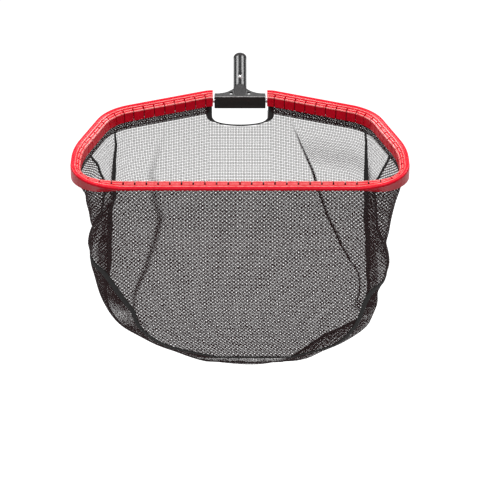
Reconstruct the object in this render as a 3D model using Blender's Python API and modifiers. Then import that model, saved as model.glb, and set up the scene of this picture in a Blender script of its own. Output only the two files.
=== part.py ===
"""A scoop-type leaf skimmer net: a bent rod hoop under a red channel, a hanging mesh bag and a cast
yoke with a handle tube. Metres, +Z up, +Y away from the scoop's lip towards the pole. The origin is
on the handle's axis, where a pole's end stops against the yoke."""

import functools
import math

import bmesh
import bpy
import numpy as np
from mathutils import Euler, Matrix, Vector

# Fits between pieces
CLEARANCE = 0.0003
SEAM_GAP = 0.0008
SLEEVE_PLAY = 0.001

# Hoop rod, measured on its centre line with the lip at y = 0
ROD_DIAMETER = 0.0095
HOOP_HALF_WIDTH = 0.2964
HOOP_DEPTH = 0.3365
CORNER_RADIUS = 0.052
SIDE_STRAIGHT = 0.1087
SIDE_BEND_RADIUS = 0.200
SHOULDER_HALF_WIDTH = 0.2445
SHOULDER_RADIUS = 0.090
ARM_SWEEP = 22.6
ARM_LEAD = 0.011
ARM_BEND_RADIUS = 0.030

# Red channel, drawn as it stands at the back
RIM_WALL = 0.002
RIM_INNER_TOP = 0.0105
RIM_INNER_DROP = 0.008
RIM_OUTER_DROP = 0.008
RIM_SLOPE = 33.0
RIM_ROUND = 0.003
RIM_END_GAP = 0.003
LIP_TILT = 61.0
TWIST_END = 0.205
SLIT_PITCH = 0.021
SLIT_WIDTH = 0.0022
SLIT_REACH = 0.0055

# Mesh bag
SLEEVE_THICKNESS = 0.0006
SLEEVE_TURN_IN = 0.006
SLEEVE_RECESS = 0.006
HEM_DROP = 0.020
NET_THICKNESS = 0.0012
NET_STRAND = 0.009
BAG_DEPTH = 0.432
BAG_TUCK = 0.026
BAG_FULLNESS = 4.8
BAG_WAIST = 0.047
BAG_WAIST_DEPTH = 0.11
BAG_BOTTOM_FRONT = 0.060
BAG_BOTTOM_BACK = 0.078
SEAM_DIAMETER = 0.005
SEAM_LIFT = 0.001728
GUSSET_TOP = 0.140
GUSSET_WIDTH = 0.018
GUSSET_TAPER = 0.090
MOUTH_DIP = 0.020
MOUTH_SQUARENESS = 6.0
MOUTH_CORD_DIAMETER = 0.003

# Yoke casting
YOKE_HALF_WIDTH = 0.0485
PLATE_THICKNESS = 0.004
PLATE_TOP = 0.0115
PLATE_DROP = 0.0125
SOCKET_SETBACK = 0.008
SOCKET_DEPTH = 0.0215
SOCKET_WALL = 0.0028
WEB_THICKNESS = 0.004
WEB_DEPTH = 0.007
WEB_HOLE_DIAMETER = 0.008
WEB_HOLE_SPREAD = 0.017
WEB_HOLE_SETBACK = 0.0083
SPIGOT_LENGTH = 0.010
SCREW_DIAMETER = 0.005
SCREW_HEAD_DIAMETER = 0.008
SCREW_HEAD_HEIGHT = 0.003

# Handle, along its own axis from the pole's stop
HANDLE_TILT = 13.0
HANDLE_ROOT = 0.026
HANDLE_RISE = 0.010
TUBE_DIAMETER = 0.025
TUBE_WALL = 0.002
TUBE_LENGTH = 0.0955
BUTTON_DIAMETER = 0.007
BUTTON_PLACE = 0.0197
BUTTON_PROUD = 0.005
SPARE_HOLE_PLACE = 0.0328
SPRING_WIDTH = 0.008
SPRING_THICKNESS = 0.0008
SPRING_LEG_END = 0.0135
SPRING_LEG_FLAT = 0.025
SPRING_LENGTH = 0.062
SPRING_BEND_RADIUS = 0.003

# Fineness of the facets
SHARP_ANGLE = math.radians(35)
ARC_STEP = math.radians(7.5)
TWIST_STEPS = 4
RIM_ROUND_STEPS = 4
SLEEVE_STEPS = 6
FILLET_STEPS = 8
SPRING_BEND_STEPS = 8
DOME_STEPS = 6
ROUND_SIDES = 32
TAPER_ROWS = 3
LOWER_ROWS = 9
FRONT_SHARES = (1, 0.94, 0.88, 0.82, 0.76, 0.68, 0.5, 0.25, 0)
CORNER_SHARE = 0.85
SIDE_COLUMNS = 4
MOUTH_SHARES = (0.98, 0.92, 0.8, 0.6, 0.3, 0)
BACK_COLUMNS = 8
FRONT_STRANDS = (0, 3, 5, 7, 9, 10, 11)
BACK_STRANDS = (0, 2, 4, 7, 13)
GUSSET_COLUMNS = 5
RING_SAMPLES = 240
ROW_SAMPLES = 400
SMALL_SIDES = 16
EDGE_STEP = 0.0004
EDGE_SEARCH = 0.08

# Sizes that follow from those above
ROD_RADIUS = ROD_DIAMETER / 2
SLEEVE_INNER = ROD_RADIUS + CLEARANCE
SLEEVE_OUTER = SLEEVE_INNER + SLEEVE_THICKNESS
RIM_HALF_WIDTH = SLEEVE_OUTER + SLEEVE_PLAY + RIM_WALL
SOCKET_RADIUS = ROD_RADIUS + CLEARANCE
BOSS_RADIUS = SOCKET_RADIUS + SOCKET_WALL
ARM_ROOT = YOKE_HALF_WIDTH + ARM_LEAD
RIM_END = YOKE_HALF_WIDTH + RIM_END_GAP
SLEEVE_END = RIM_END + SLEEVE_RECESS
MOUTH_CORD_RADIUS = MOUTH_CORD_DIAMETER / 2
MOUTH_EDGE_GAP = MOUTH_CORD_RADIUS + NET_THICKNESS / 2 + SEAM_GAP + CLEARANCE
MOUTH_HALF_WIDTH = SLEEVE_END - MOUTH_EDGE_GAP
TUBE_RADIUS = TUBE_DIAMETER / 2
BORE_RADIUS = TUBE_RADIUS - TUBE_WALL
SEAM_RADIUS = SEAM_DIAMETER / 2
SEAM_EDGE_GAP = SEAM_RADIUS + NET_THICKNESS / 2 + CLEARANCE
SEAM_END = 1 - SEAM_LIFT / BAG_DEPTH
PANEL_END = SEAM_END - 1.6 * SEAM_EDGE_GAP / BAG_DEPTH
SHOULDER_Y = HOOP_DEPTH - (SHOULDER_HALF_WIDTH - ARM_ROOT) * math.tan(math.radians(ARM_SWEEP))
YOKE_FRONT = HOOP_DEPTH - SOCKET_SETBACK
TILT = math.radians(HANDLE_TILT)
HOOP_ORIGIN = Vector(
    (0, -HANDLE_ROOT * math.cos(TILT) - YOKE_FRONT, -HANDLE_ROOT * math.sin(TILT) - HANDLE_RISE)
)


def clear_scene():
    for obj in list(bpy.data.objects):
        bpy.data.objects.remove(obj)


def new_collection(name, hidden=False):
    collection = bpy.data.collections.new(name)
    collection.hide_render = hidden
    bpy.context.scene.collection.children.link(collection)
    return collection


def new_empty(name, location, rotation=(0, 0, 0)):
    empty = bpy.data.objects.new(name, None)
    empty.location = location
    empty.rotation_euler = rotation
    PARTS.objects.link(empty)
    return empty


def material(name, colour, roughness, metallic=0.0):
    made = bpy.data.materials.new(name)
    made.use_nodes = True
    shader = made.node_tree.nodes["Principled BSDF"]
    shader.inputs["Base Color"].default_value = (*colour, 1)
    shader.inputs["Roughness"].default_value = roughness
    shader.inputs["Metallic"].default_value = metallic
    return made


def place(obj, parent, finish=None, location=(0, 0, 0), rotation=(0, 0, 0)):
    """Puts a piece in the model, or a helper among the cutters when it has no finish."""
    obj.parent = parent
    obj.location = location
    obj.rotation_euler = rotation
    if finish:
        PARTS.objects.link(obj)
        obj.data.materials.append(finish)
        return obj
    CUTTERS.objects.link(obj)
    obj.hide_render = True
    obj.display_type = "WIRE"
    return obj


def mesh_from(name, bm):
    mesh = bpy.data.meshes.new(name)
    bm.to_mesh(mesh)
    bm.free()
    mesh.shade_smooth()
    mesh.set_sharp_from_angle(angle=SHARP_ANGLE)
    return bpy.data.objects.new(name, mesh)


def curve_from(name, points, cyclic=False, dimensions="3D"):
    curve = bpy.data.curves.new(name, "CURVE")
    curve.dimensions = dimensions
    spline = curve.splines.new("POLY")
    spline.points.add(len(points) - 1)
    for target, point in zip(spline.points, points):
        target.co = (*point, 0, 1) if len(point) == 2 else (*point, 1)
    spline.use_cyclic_u = cyclic
    return bpy.data.objects.new(name, curve)


def as_mesh(curve_object):
    """The curve's evaluated surface as a mesh object with welded caps, in the same place."""
    bpy.context.view_layer.update()
    graph = bpy.context.evaluated_depsgraph_get()
    mesh = bpy.data.meshes.new_from_object(curve_object.evaluated_get(graph))
    bm = bmesh.new()
    bm.from_mesh(mesh)
    bmesh.ops.remove_doubles(bm, verts=bm.verts, dist=1e-6)
    bmesh.ops.recalc_face_normals(bm, faces=bm.faces)
    bm.to_mesh(mesh)
    bm.free()
    mesh.shade_smooth()
    mesh.set_sharp_from_angle(angle=SHARP_ANGLE)
    name, parent = curve_object.name, curve_object.parent
    spot, turn = curve_object.location.copy(), curve_object.rotation_euler.copy()
    finished = not curve_object.hide_render
    bpy.data.objects.remove(curve_object)
    solid = bpy.data.objects.new(name, mesh)
    finish = mesh.materials[0] if finished else None
    if finished:
        mesh.materials.clear()
    return place(solid, parent, finish, spot, turn)


def swept(name, frames, profile, finish):
    """A profile of (outward, up) points carried along the hoop, tilting with it."""
    section = place(curve_from(name + "_section", profile, True, "2D"), None)
    rail = curve_from(name, [frame["at"] for frame in frames])
    for point, frame in zip(rail.data.splines[0].points, frames):
        point.tilt = frame["tilt"]
    rail.data.twist_mode = "Z_UP"
    rail.data.bevel_mode = "OBJECT"
    rail.data.bevel_object = section
    rail.data.use_fill_caps = True
    return as_mesh(place(rail, HOOP_FRAME, finish))


def cord(name, points, diameter, finish, resolution=1):
    line = curve_from(name, points)
    line.data.bevel_depth = diameter / 2
    line.data.bevel_resolution = resolution
    line.data.use_fill_caps = True
    return as_mesh(place(line, HOOP_FRAME, finish))


def plate(name, outline, thickness):
    """A flat outline in its own XY plane, extruded both ways."""
    flat = curve_from(name, outline, True, "2D")
    flat.data.fill_mode = "BOTH"
    flat.data.extrude = thickness / 2
    return flat


def rod_between(name, start, end, radius, sides=ROUND_SIDES):
    start, end = Vector(start), Vector(end)
    along = end - start
    turn = along.to_track_quat("Z", "Y").to_matrix().to_4x4()
    bm = bmesh.new()
    bmesh.ops.create_cone(
        bm,
        cap_ends=True,
        segments=sides,
        radius1=radius,
        radius2=radius,
        depth=along.length,
        matrix=Matrix.Translation((start + end) / 2) @ turn,
    )
    return mesh_from(name, bm)


def turned(name, profile, sides, closed=False):
    """A profile of (radius, height) points, listed from the top down its outer side, turned about Z."""
    bm = bmesh.new()
    chain = [bm.verts.new((radius, 0, height)) for radius, height in profile]
    pairs = list(zip(chain, chain[1:]))
    if closed:
        pairs.append((chain[-1], chain[0]))
    for pair in pairs:
        bm.edges.new(pair)
    obj = mesh_from(name, bm)
    screw = obj.modifiers.new("Turn", "SCREW")
    screw.steps = sides
    screw.render_steps = sides
    screw.use_merge_vertices = True
    screw.merge_threshold = 0.00001
    return obj


def boolean(obj, operation, helper):
    step = obj.modifiers.new(f"{operation} {helper.name}", "BOOLEAN")
    step.operation = operation
    step.object = helper


def sheet(name, rows, finish, strands=()):
    """A thin panel through rows of points, each row with as many points as the next. With strands
    at some of its columns, as well as along its rows, the net is open between them."""
    bm = bmesh.new()
    grid = [[bm.verts.new(point) for point in row] for row in rows]
    bands = []
    for upper, lower in zip(grid, grid[1:]):
        quads = zip(upper, upper[1:], lower[1:], lower)
        bands.append([bm.faces.new(quad) for quad in quads])
    for band in bands:
        for start, end in zip(strands, strands[1:]):
            open_net(bm, band[start:end])
    panel = mesh_from(name, bm)
    shell = panel.modifiers.new("Thickness", "SOLIDIFY")
    shell.thickness = NET_THICKNESS
    shell.offset = 0
    return place(panel, HOOP_FRAME, finish)


def open_net(bm, cells):
    """Opens a run of the panel's cells inside a border of half a strand, where there is room."""
    lengths = np.array([[edge.calc_length() for edge in cell.edges] for cell in cells])
    height = lengths[:, 1::2].min()
    width = lengths[:, ::2].sum(axis=0).min()
    if min(height, width) > 2 * NET_STRAND:
        border = NET_STRAND / 2
        bmesh.ops.inset_region(bm, faces=cells, thickness=border, use_boundary=True, use_even_offset=True)
        bmesh.ops.delete(bm, geom=cells, context="FACES")


def smooth_step(value):
    value = min(max(value, 0.0), 1.0)
    return value * value * (3 - 2 * value)


def rounded(corners):
    """Points along a line of (x, y, radius) corners, with an arc at each one that has a radius."""
    points = [Vector(corners[0][:2])]
    for before, corner, after in zip(corners, corners[1:], corners[2:]):
        tip = Vector(corner[:2])
        back = (Vector(before[:2]) - tip).normalized()
        onward = (Vector(after[:2]) - tip).normalized()
        turn = math.pi - back.angle(onward)
        middle = tip + (back + onward).normalized() * corner[2] / math.cos(turn / 2)
        first = tip + back * corner[2] * math.tan(turn / 2) - middle
        way = 1 if first.cross(onward) > 0 else -1
        steps = math.ceil(turn / ARC_STEP)
        for step in range(steps + 1):
            points.append(middle + Matrix.Rotation(way * turn * step / steps, 2) @ first)
    points.append(Vector(corners[-1][:2]))
    return points


def hoop_half():
    """The rod's centre line on the left, from inside the yoke's socket to the middle of the lip."""
    line = rounded(
        [
            (-(YOKE_HALF_WIDTH - SOCKET_DEPTH + CLEARANCE), HOOP_DEPTH, 0),
            (-ARM_ROOT, HOOP_DEPTH, ARM_BEND_RADIUS),
            (-SHOULDER_HALF_WIDTH, SHOULDER_Y, SHOULDER_RADIUS),
            (-HOOP_HALF_WIDTH, SIDE_STRAIGHT, SIDE_BEND_RADIUS),
            (-HOOP_HALF_WIDTH, 0, CORNER_RADIUS),
            (0, 0, 0),
        ]
    )
    middle = line.pop()
    arc_end = line[-1]
    twist_end = Vector((-min(TWIST_END, -arc_end.x), 0))
    for step in range(1, TWIST_STEPS + 1):
        line.append(arc_end.lerp(twist_end, step / TWIST_STEPS))
    return line + [middle]


def hoop_frames(end):
    """Points along the whole hoop that start and stop at x = -end and x = end on the arms, each with
    its outward direction and the section's tilt."""
    half = hoop_half()
    keep = next(i for i, point in enumerate(half) if point.x < -end)
    before, after = half[keep - 1], half[keep]
    share = (end + before.x) / (before.x - after.x)
    half = [before.lerp(after, share)] + half[keep:]
    from_lip = [0.0]
    for near, far in zip(half[::-1], half[-2::-1]):
        from_lip.append(from_lip[-1] + (far - near).length)
    from_lip.reverse()
    corner_length = HOOP_HALF_WIDTH - CORNER_RADIUS + CORNER_RADIUS * math.pi / 2
    tilts = [
        math.radians(LIP_TILT) * (1 - smooth_step((s - TWIST_END) / (corner_length - TWIST_END)))
        for s in from_lip
    ]
    line = half + [Vector((-point.x, point.y)) for point in half[-2::-1]]
    tilts = tilts + tilts[-2::-1]
    frames = []
    for i, point in enumerate(line):
        way = Vector((0, 0))
        if i > 0:
            way += (point - line[i - 1]).normalized()
        if i < len(line) - 1:
            way += (line[i + 1] - point).normalized()
        way.normalize()
        frames.append(
            {"at": Vector((*point, 0)), "out": Vector((way.y, -way.x, 0)), "tilt": tilts[i]}
        )
    return frames


def on_section(frame, outward, up):
    """A point of the tilted section at this place on the hoop."""
    lean = frame["tilt"]
    across = frame["out"] * (outward * math.cos(lean) + up * math.sin(lean))
    return frame["at"] + across + Vector((0, 0, up * math.cos(lean) - outward * math.sin(lean)))


def make_rod():
    frames = hoop_frames(YOKE_HALF_WIDTH - SOCKET_DEPTH + 2 * CLEARANCE)
    cord("hoop_rod", [frame["at"] for frame in frames], ROD_DIAMETER, ALUMINIUM, 2)


def rim_profile():
    slope = math.radians(RIM_SLOPE)
    half, wall = RIM_HALF_WIDTH, RIM_WALL
    outer_top = RIM_INNER_TOP + 2 * half * math.tan(slope)
    thick = wall / math.cos(slope)
    turn = math.pi / 2 + slope
    middle = Vector((half - RIM_ROUND, outer_top - RIM_ROUND * math.tan(turn / 2)))
    arc = []
    for step in range(RIM_ROUND_STEPS + 1):
        angle = turn * (1 - step / RIM_ROUND_STEPS)
        arc.append(middle + RIM_ROUND * Vector((math.cos(angle), math.sin(angle))))
    inside = half - wall
    return [
        (-half, -RIM_INNER_DROP),
        (-half, RIM_INNER_TOP),
        *arc,
        (half, -RIM_OUTER_DROP),
        (inside, -RIM_OUTER_DROP),
        (inside, middle.y - wall),
        (-inside, RIM_INNER_TOP + wall * math.tan(slope) - thick),
        (-inside, -RIM_INNER_DROP),
    ]


def make_rim():
    frames = hoop_frames(RIM_END)
    rim = swept("scoop_rim", frames, rim_profile(), RED_PLASTIC)
    lengths = [0.0]
    for near, far in zip(frames, frames[1:]):
        lengths.append(lengths[-1] + (far["at"] - near["at"]).length)
    total = lengths[-1]
    count = int((total / 2 - SLIT_PITCH / 2) / SLIT_PITCH)
    low, high = -RIM_INNER_DROP - RIM_WALL, RIM_INNER_TOP + 2 * RIM_HALF_WIDTH
    left = -RIM_HALF_WIDTH - RIM_WALL
    right = -RIM_HALF_WIDTH + SLIT_REACH
    bm = bmesh.new()
    for number in range(-count, count + 1):
        place_along = total / 2 + number * SLIT_PITCH
        i = min(int(np.searchsorted(lengths, place_along)), len(frames) - 1)
        share = (place_along - lengths[i - 1]) / (lengths[i] - lengths[i - 1])
        near, far = frames[i - 1], frames[i]
        frame = {
            "at": near["at"].lerp(far["at"], share),
            "out": near["out"].lerp(far["out"], share).normalized(),
            "tilt": near["tilt"] + (far["tilt"] - near["tilt"]) * share,
        }
        lean = Matrix.Rotation(frame["tilt"], 3, frame["out"].cross(Vector((0, 0, -1))))
        across = lean @ frame["out"]
        up = lean @ Vector((0, 0, 1))
        along = across.cross(up)
        sides = Matrix((across * (right - left), along * SLIT_WIDTH, up * (high - low))).transposed()
        middle = on_section(frame, (left + right) / 2, (low + high) / 2)
        bmesh.ops.create_cube(bm, size=1, matrix=Matrix.Translation(middle) @ sides.to_4x4())
    bmesh.ops.recalc_face_normals(bm, faces=bm.faces)
    slits = place(mesh_from("rim_slits", bm), HOOP_FRAME)
    boolean(rim, "DIFFERENCE", slits)


def sleeve_profile():
    outer, inner = [], []
    for step in range(SLEEVE_STEPS + 1):
        angle = math.pi * (1 - step / SLEEVE_STEPS)
        spoke = Vector((math.cos(angle), math.sin(angle)))
        outer.append(spoke * SLEEVE_OUTER)
        inner.append(spoke * SLEEVE_INNER)
    return [
        (-SLEEVE_OUTER, -HEM_DROP),
        *outer,
        (SLEEVE_OUTER, -SLEEVE_TURN_IN),
        (SLEEVE_INNER, -SLEEVE_TURN_IN),
        *inner[::-1],
        (-SLEEVE_INNER, -HEM_DROP),
    ]


def make_sleeve():
    swept("net_sleeve", hoop_frames(SLEEVE_END), sleeve_profile(), BLACK_MESH)


def bag_top():
    """The line that the bag's panels hang from, on the left from the middle of the lip to the middle
    of the back, as rows of x, y, z with the length along it."""
    frames = hoop_frames(SLEEVE_END)
    across = -(SLEEVE_OUTER + SLEEVE_INNER) / 2
    half = frames[len(frames) // 2 :: -1]
    line = [on_section(frame, across, -HEM_DROP - SEAM_GAP) for frame in half]
    line.append(Vector((0, line[-1].y, line[-1].z)))
    line = np.array(line)
    along = np.concatenate([[0], np.cumsum(np.linalg.norm(np.diff(line, axis=0), axis=1))])
    return line, along


def bag_points(along, fall):
    """Points of the bag's left half, by lengths along its top line and the share of its depth."""
    x, y, z = (np.interp(along, TOP_LENGTHS, TOP_LINE[:, k]) for k in range(3))
    waist = 1 - BAG_WAIST * smooth_step(fall * BAG_DEPTH / BAG_WAIST_DEPTH)
    wide = waist * math.sqrt(max(1 - fall**BAG_FULLNESS, 0))
    front_top, back_top = TOP_LINE[0, 1], TOP_LINE[-1, 1]
    front = front_top + (BAG_BOTTOM_FRONT - front_top) * fall**2
    back = back_top + (BAG_BOTTOM_BACK - back_top) * fall
    share = (y - front_top) / (back_top - front_top)
    low = z - fall * (BAG_DEPTH - BAG_TUCK * (1 - share) + z)
    return np.stack((x * wide, front + share * (back - front), low), axis=-1)


@functools.lru_cache(maxsize=None)
def level(fall):
    """One level of the bag's left half: lengths along the top line, and along the level itself."""
    along = np.linspace(0, TOP_LENGTHS[-1], RING_SAMPLES)
    steps = np.linalg.norm(np.diff(bag_points(along, fall), axis=0), axis=1)
    return along, np.concatenate([[0], np.cumsum(steps)])


def level_points(fall, lengths):
    along, real = level(fall)
    return bag_points(np.interp(lengths, real, along), fall)


def seams(fall):
    """Where the front and back seams cross a level, as lengths along the level from the lip."""
    along, real = level(fall)
    back = float(np.interp(SHOULDER_LENGTH, along, real))
    taper = min(fall * BAG_DEPTH / GUSSET_TAPER, 1)
    return back - GUSSET_TOP + (GUSSET_TOP - GUSSET_WIDTH) * taper, back


def bag_rows():
    """Shares of the bag's depth at its rows: while the gusset tapers, then evenly spaced along the
    bag's side as that curves in to the end of the cloth."""
    taper = GUSSET_TAPER / BAG_DEPTH
    fine = np.sin(np.linspace(math.asin(taper), math.asin(PANEL_END), ROW_SAMPLES))
    side = np.array([bag_points(SHOULDER_LENGTH, fall) for fall in fine])
    length = np.concatenate([[0], np.cumsum(np.linalg.norm(np.diff(side, axis=0), axis=1))])
    lower = np.interp(np.linspace(0, length[-1], LOWER_ROWS), length, fine)
    return [*np.linspace(0, taper, TAPER_ROWS)[:-1], *lower]


def seam_line(which):
    """The middle of the front or back seam, from the hem on the left round the bottom to the right."""
    rows = [*bag_rows(), SEAM_END]
    left = [level_points(fall, seams(fall)[which]) for fall in rows]
    right = [point * (-1, 1, 1) for point in left[::-1]]
    return np.array(left + right)


def gaps_to(line, points):
    """The distance of each point from a line of straight runs."""
    start, run = line[:-1], np.diff(line, axis=0)
    offset = points[:, None] - start
    share = np.clip((offset * run).sum(-1) / (run * run).sum(-1), 0, 1)
    return np.linalg.norm(offset - share[..., None] * run, axis=-1).min(axis=1)


def cloth_edge(fall, which, way):
    """Where cloth on one side of a seam stops, as a length along the level, clear of the binding."""
    lengths = seams(fall)[which] + way * np.arange(0, EDGE_SEARCH, EDGE_STEP)
    gaps = gaps_to(SEAM_LINES[which], level_points(fall, lengths))
    return lengths[np.argmax(gaps > SEAM_EDGE_GAP)]


def mirrored(row):
    return [tuple(point) for point in row] + [(-x, y, z) for x, y, z in row[-2::-1]]


def make_panels():
    front_rows, back_rows = [], []
    for fall in bag_rows():
        front_rows.append(mirrored(front_row(fall)))
        back_rows.append(mirrored(back_row(fall)))
    sheet("net_front_panel", front_rows, BLACK_MESH, both_halves(FRONT_STRANDS))
    sheet("net_back_panel", back_rows, BLACK_MESH, both_halves(BACK_STRANDS))


def both_halves(columns):
    """The columns of a panel's left half, the last in the middle, and their like on the right."""
    return [*columns, *(2 * columns[-1] - column for column in columns[-2::-1])]


def front_row(fall):
    """One row of the front panel, from its seam to the middle, closely spaced round the corner."""
    along, real = level(fall)
    edge = cloth_edge(fall, 0, -1)
    bend = np.interp(CORNER_LENGTH * np.array(FRONT_SHARES), along, real)
    bend *= min(1, CORNER_SHARE * edge / bend[0])
    side = np.linspace(edge, bend[0], SIDE_COLUMNS)[:-1]
    return level_points(fall, [*side, *bend])


def mouth_sag(distance, gap):
    """How far an edge hangs below the hem, by the distance from the middle of the back. The edge
    lies this gap outside the middle of the binding."""
    share = min(distance / (MOUTH_HALF_WIDTH + gap), 1)
    return (MOUTH_DIP + gap) * (1 - share**MOUTH_SQUARENESS) ** (2 / MOUTH_SQUARENESS)


def back_row(fall):
    """One row of the back panel, from its seam to the middle, hung lower where its edge sags."""
    edge_width = MOUTH_HALF_WIDTH + MOUTH_EDGE_GAP
    whole = TOP_LENGTHS[-1] - SHOULDER_LENGTH
    outer = np.linspace(1, edge_width / whole, BACK_COLUMNS)
    row = []
    for share in [*outer, *(edge_width / whole * part for part in MOUTH_SHARES)]:
        drop = mouth_sag(share * whole, MOUTH_EDGE_GAP) / BAG_DEPTH
        sunk = fall + (1 - fall) * drop
        middle = level(sunk)[1][-1]
        row.append(level_points(sunk, middle - share * (middle - cloth_edge(sunk, 1, 1))))
    return row


def make_gusset_and_seams():
    left = []
    for fall in [*bag_rows(), SEAM_END]:
        spots = np.linspace(cloth_edge(fall, 0, 1), cloth_edge(fall, 1, -1), GUSSET_COLUMNS + 1)
        left.append([tuple(point) for point in level_points(fall, spots)])
    right = [[(-x, y, z) for x, y, z in row] for row in left[::-1]]
    sheet("net_gusset", left + right, BLACK_MESH)
    for name, line in zip(("front_seam_binding", "back_seam_binding"), SEAM_LINES):
        line = line.copy()
        for end, inner in ((0, 1), (-1, -2)):
            run = line[inner] - line[end]
            line[end] += run * SEAM_DIAMETER / np.linalg.norm(run)
        cord(name, line, SEAM_DIAMETER, BLACK_TAPE)


def make_mouth_binding():
    half = []
    for share in (1, *MOUTH_SHARES):
        distance = share * MOUTH_HALF_WIDTH
        fall = mouth_sag(distance, 0) / BAG_DEPTH
        half.append(bag_points(TOP_LENGTHS[-1] - distance, fall))
    cord("mouth_binding", mirrored(half), MOUTH_CORD_DIAMETER, BLACK_TAPE)


def web_outline():
    """The web seen along the handle's Z, with a concave fillet from its back edge to the handle."""
    front = -HANDLE_ROOT + CLEARANCE
    back = -HANDLE_ROOT + WEB_DEPTH
    fillet = -back - CLEARANCE
    corner = TUBE_RADIUS + fillet
    right = [(YOKE_HALF_WIDTH, front), (YOKE_HALF_WIDTH, back)]
    for step in range(FILLET_STEPS + 1):
        angle = math.pi / 2 * step / FILLET_STEPS
        right.append((corner - fillet * math.sin(angle), back + fillet * (1 - math.cos(angle))))
    return right + [(-x, y) for x, y in right[::-1]]


def handle_root():
    """The round root of the handle, flattened to the web's thickness at the plate."""
    front = -HANDLE_ROOT + PLATE_THICKNESS / 2
    root = rod_between("yoke_root", (0, front, 0), (0, 0, 0), TUBE_RADIUS)
    flat = WEB_THICKNESS / 2 / TUBE_RADIUS
    for vert in root.data.vertices:
        if vert.co.y < front / 2:
            vert.co.z *= flat
    return place(root, HANDLE_AXIS)


def make_yoke():
    bm = bmesh.new()
    size = Vector((2 * YOKE_HALF_WIDTH, PLATE_THICKNESS, PLATE_TOP + PLATE_DROP))
    middle = Vector((0, YOKE_FRONT + PLATE_THICKNESS / 2, (PLATE_TOP - PLATE_DROP) / 2))
    scale = Matrix.Diagonal((*size, 1))
    bmesh.ops.create_cube(bm, size=1, matrix=Matrix.Translation(middle) @ scale)
    yoke = place(mesh_from("yoke_casting", bm), HOOP_FRAME, CAST_BLACK)
    web = as_mesh(place(plate("yoke_web", web_outline(), WEB_THICKNESS), HANDLE_AXIS))
    boolean(yoke, "UNION", web)
    boolean(yoke, "UNION", handle_root())
    spigot_radius = BORE_RADIUS - CLEARANCE
    spigot = rod_between("yoke_spigot", (0, -WEB_DEPTH, 0), (0, SPIGOT_LENGTH, 0), spigot_radius)
    boolean(yoke, "UNION", place(spigot, HANDLE_AXIS))
    for side, way in (("left", -1), ("right", 1)):
        mouth = way * (YOKE_HALF_WIDTH - CLEARANCE)
        floor = way * (YOKE_HALF_WIDTH - SOCKET_DEPTH)
        ends = (mouth, HOOP_DEPTH, 0), (floor - way * SOCKET_WALL, HOOP_DEPTH, 0)
        boolean(yoke, "UNION", place(rod_between(f"{side}_boss", *ends, BOSS_RADIUS), HOOP_FRAME))
    for side, way in (("left", -1), ("right", 1)):
        floor = way * (YOKE_HALF_WIDTH - SOCKET_DEPTH)
        ends = (way * (YOKE_HALF_WIDTH + SOCKET_WALL), HOOP_DEPTH, 0), (floor, HOOP_DEPTH, 0)
        bore = rod_between(f"{side}_socket", *ends, SOCKET_RADIUS)
        boolean(yoke, "DIFFERENCE", place(bore, HOOP_FRAME))
        across = way * (YOKE_HALF_WIDTH - SOCKET_DEPTH / 2)
        ends = (across, HOOP_DEPTH, 0), (across, HOOP_DEPTH + 2 * BOSS_RADIUS, 0)
        bore = rod_between(f"{side}_screw_hole", *ends, SCREW_DIAMETER / 2 + CLEARANCE)
        boolean(yoke, "DIFFERENCE", place(bore, HOOP_FRAME))
        spot = way * WEB_HOLE_SPREAD, -HANDLE_ROOT + WEB_HOLE_SETBACK
        ends = (*spot, -2 * WEB_THICKNESS), (*spot, 2 * WEB_THICKNESS)
        bore = rod_between(f"{side}_web_hole", *ends, WEB_HOLE_DIAMETER / 2)
        boolean(yoke, "DIFFERENCE", place(bore, HANDLE_AXIS))


def make_screws():
    tip = ROD_RADIUS + CLEARANCE
    seat = BOSS_RADIUS + CLEARANCE
    shank, head = SCREW_DIAMETER / 2, SCREW_HEAD_DIAMETER / 2
    top = seat + SCREW_HEAD_HEIGHT
    ease = SCREW_HEAD_HEIGHT / 3
    profile = [(0, top), (head - ease, top), (head, top - ease), (head, seat), (shank, seat)]
    profile += [(shank, tip), (0, tip)]
    for side, way in (("left", -1), ("right", 1)):
        across = way * (YOKE_HALF_WIDTH - SOCKET_DEPTH / 2)
        screw = turned(f"rod_screw_{side}", profile, SMALL_SIDES)
        turn = (-math.pi / 2, 0, 0)
        place(screw, HOOP_FRAME, STAINLESS, (across, HOOP_DEPTH, 0), turn)


def make_tube():
    start, end = CLEARANCE, TUBE_LENGTH
    walls = [(TUBE_RADIUS, end), (TUBE_RADIUS, start), (BORE_RADIUS, start), (BORE_RADIUS, end)]
    tube = turned("handle_tube", walls, ROUND_SIDES, closed=True)
    place(tube, HANDLE_AXIS, GLOSS_BLACK, rotation=(-math.pi / 2, 0, 0))
    hole = BUTTON_DIAMETER / 2 + CLEARANCE
    reach = 2 * TUBE_RADIUS
    cuts = (
        ("button_holes", BUTTON_PLACE, -reach),
        ("spare_hole", SPARE_HOLE_PLACE, 0),
    )
    for name, along, low in cuts:
        bore = rod_between(name, (0, along, low), (0, along, reach), hole)
        boolean(tube, "DIFFERENCE", place(bore, HANDLE_AXIS))


def leg_height():
    """How high the spring's straight leg lies, with its edges just clear of the bore."""
    room = BORE_RADIUS - CLEARANCE
    return math.sqrt(room**2 - (SPRING_WIDTH / 2) ** 2) - SPRING_THICKNESS / 2


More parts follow.
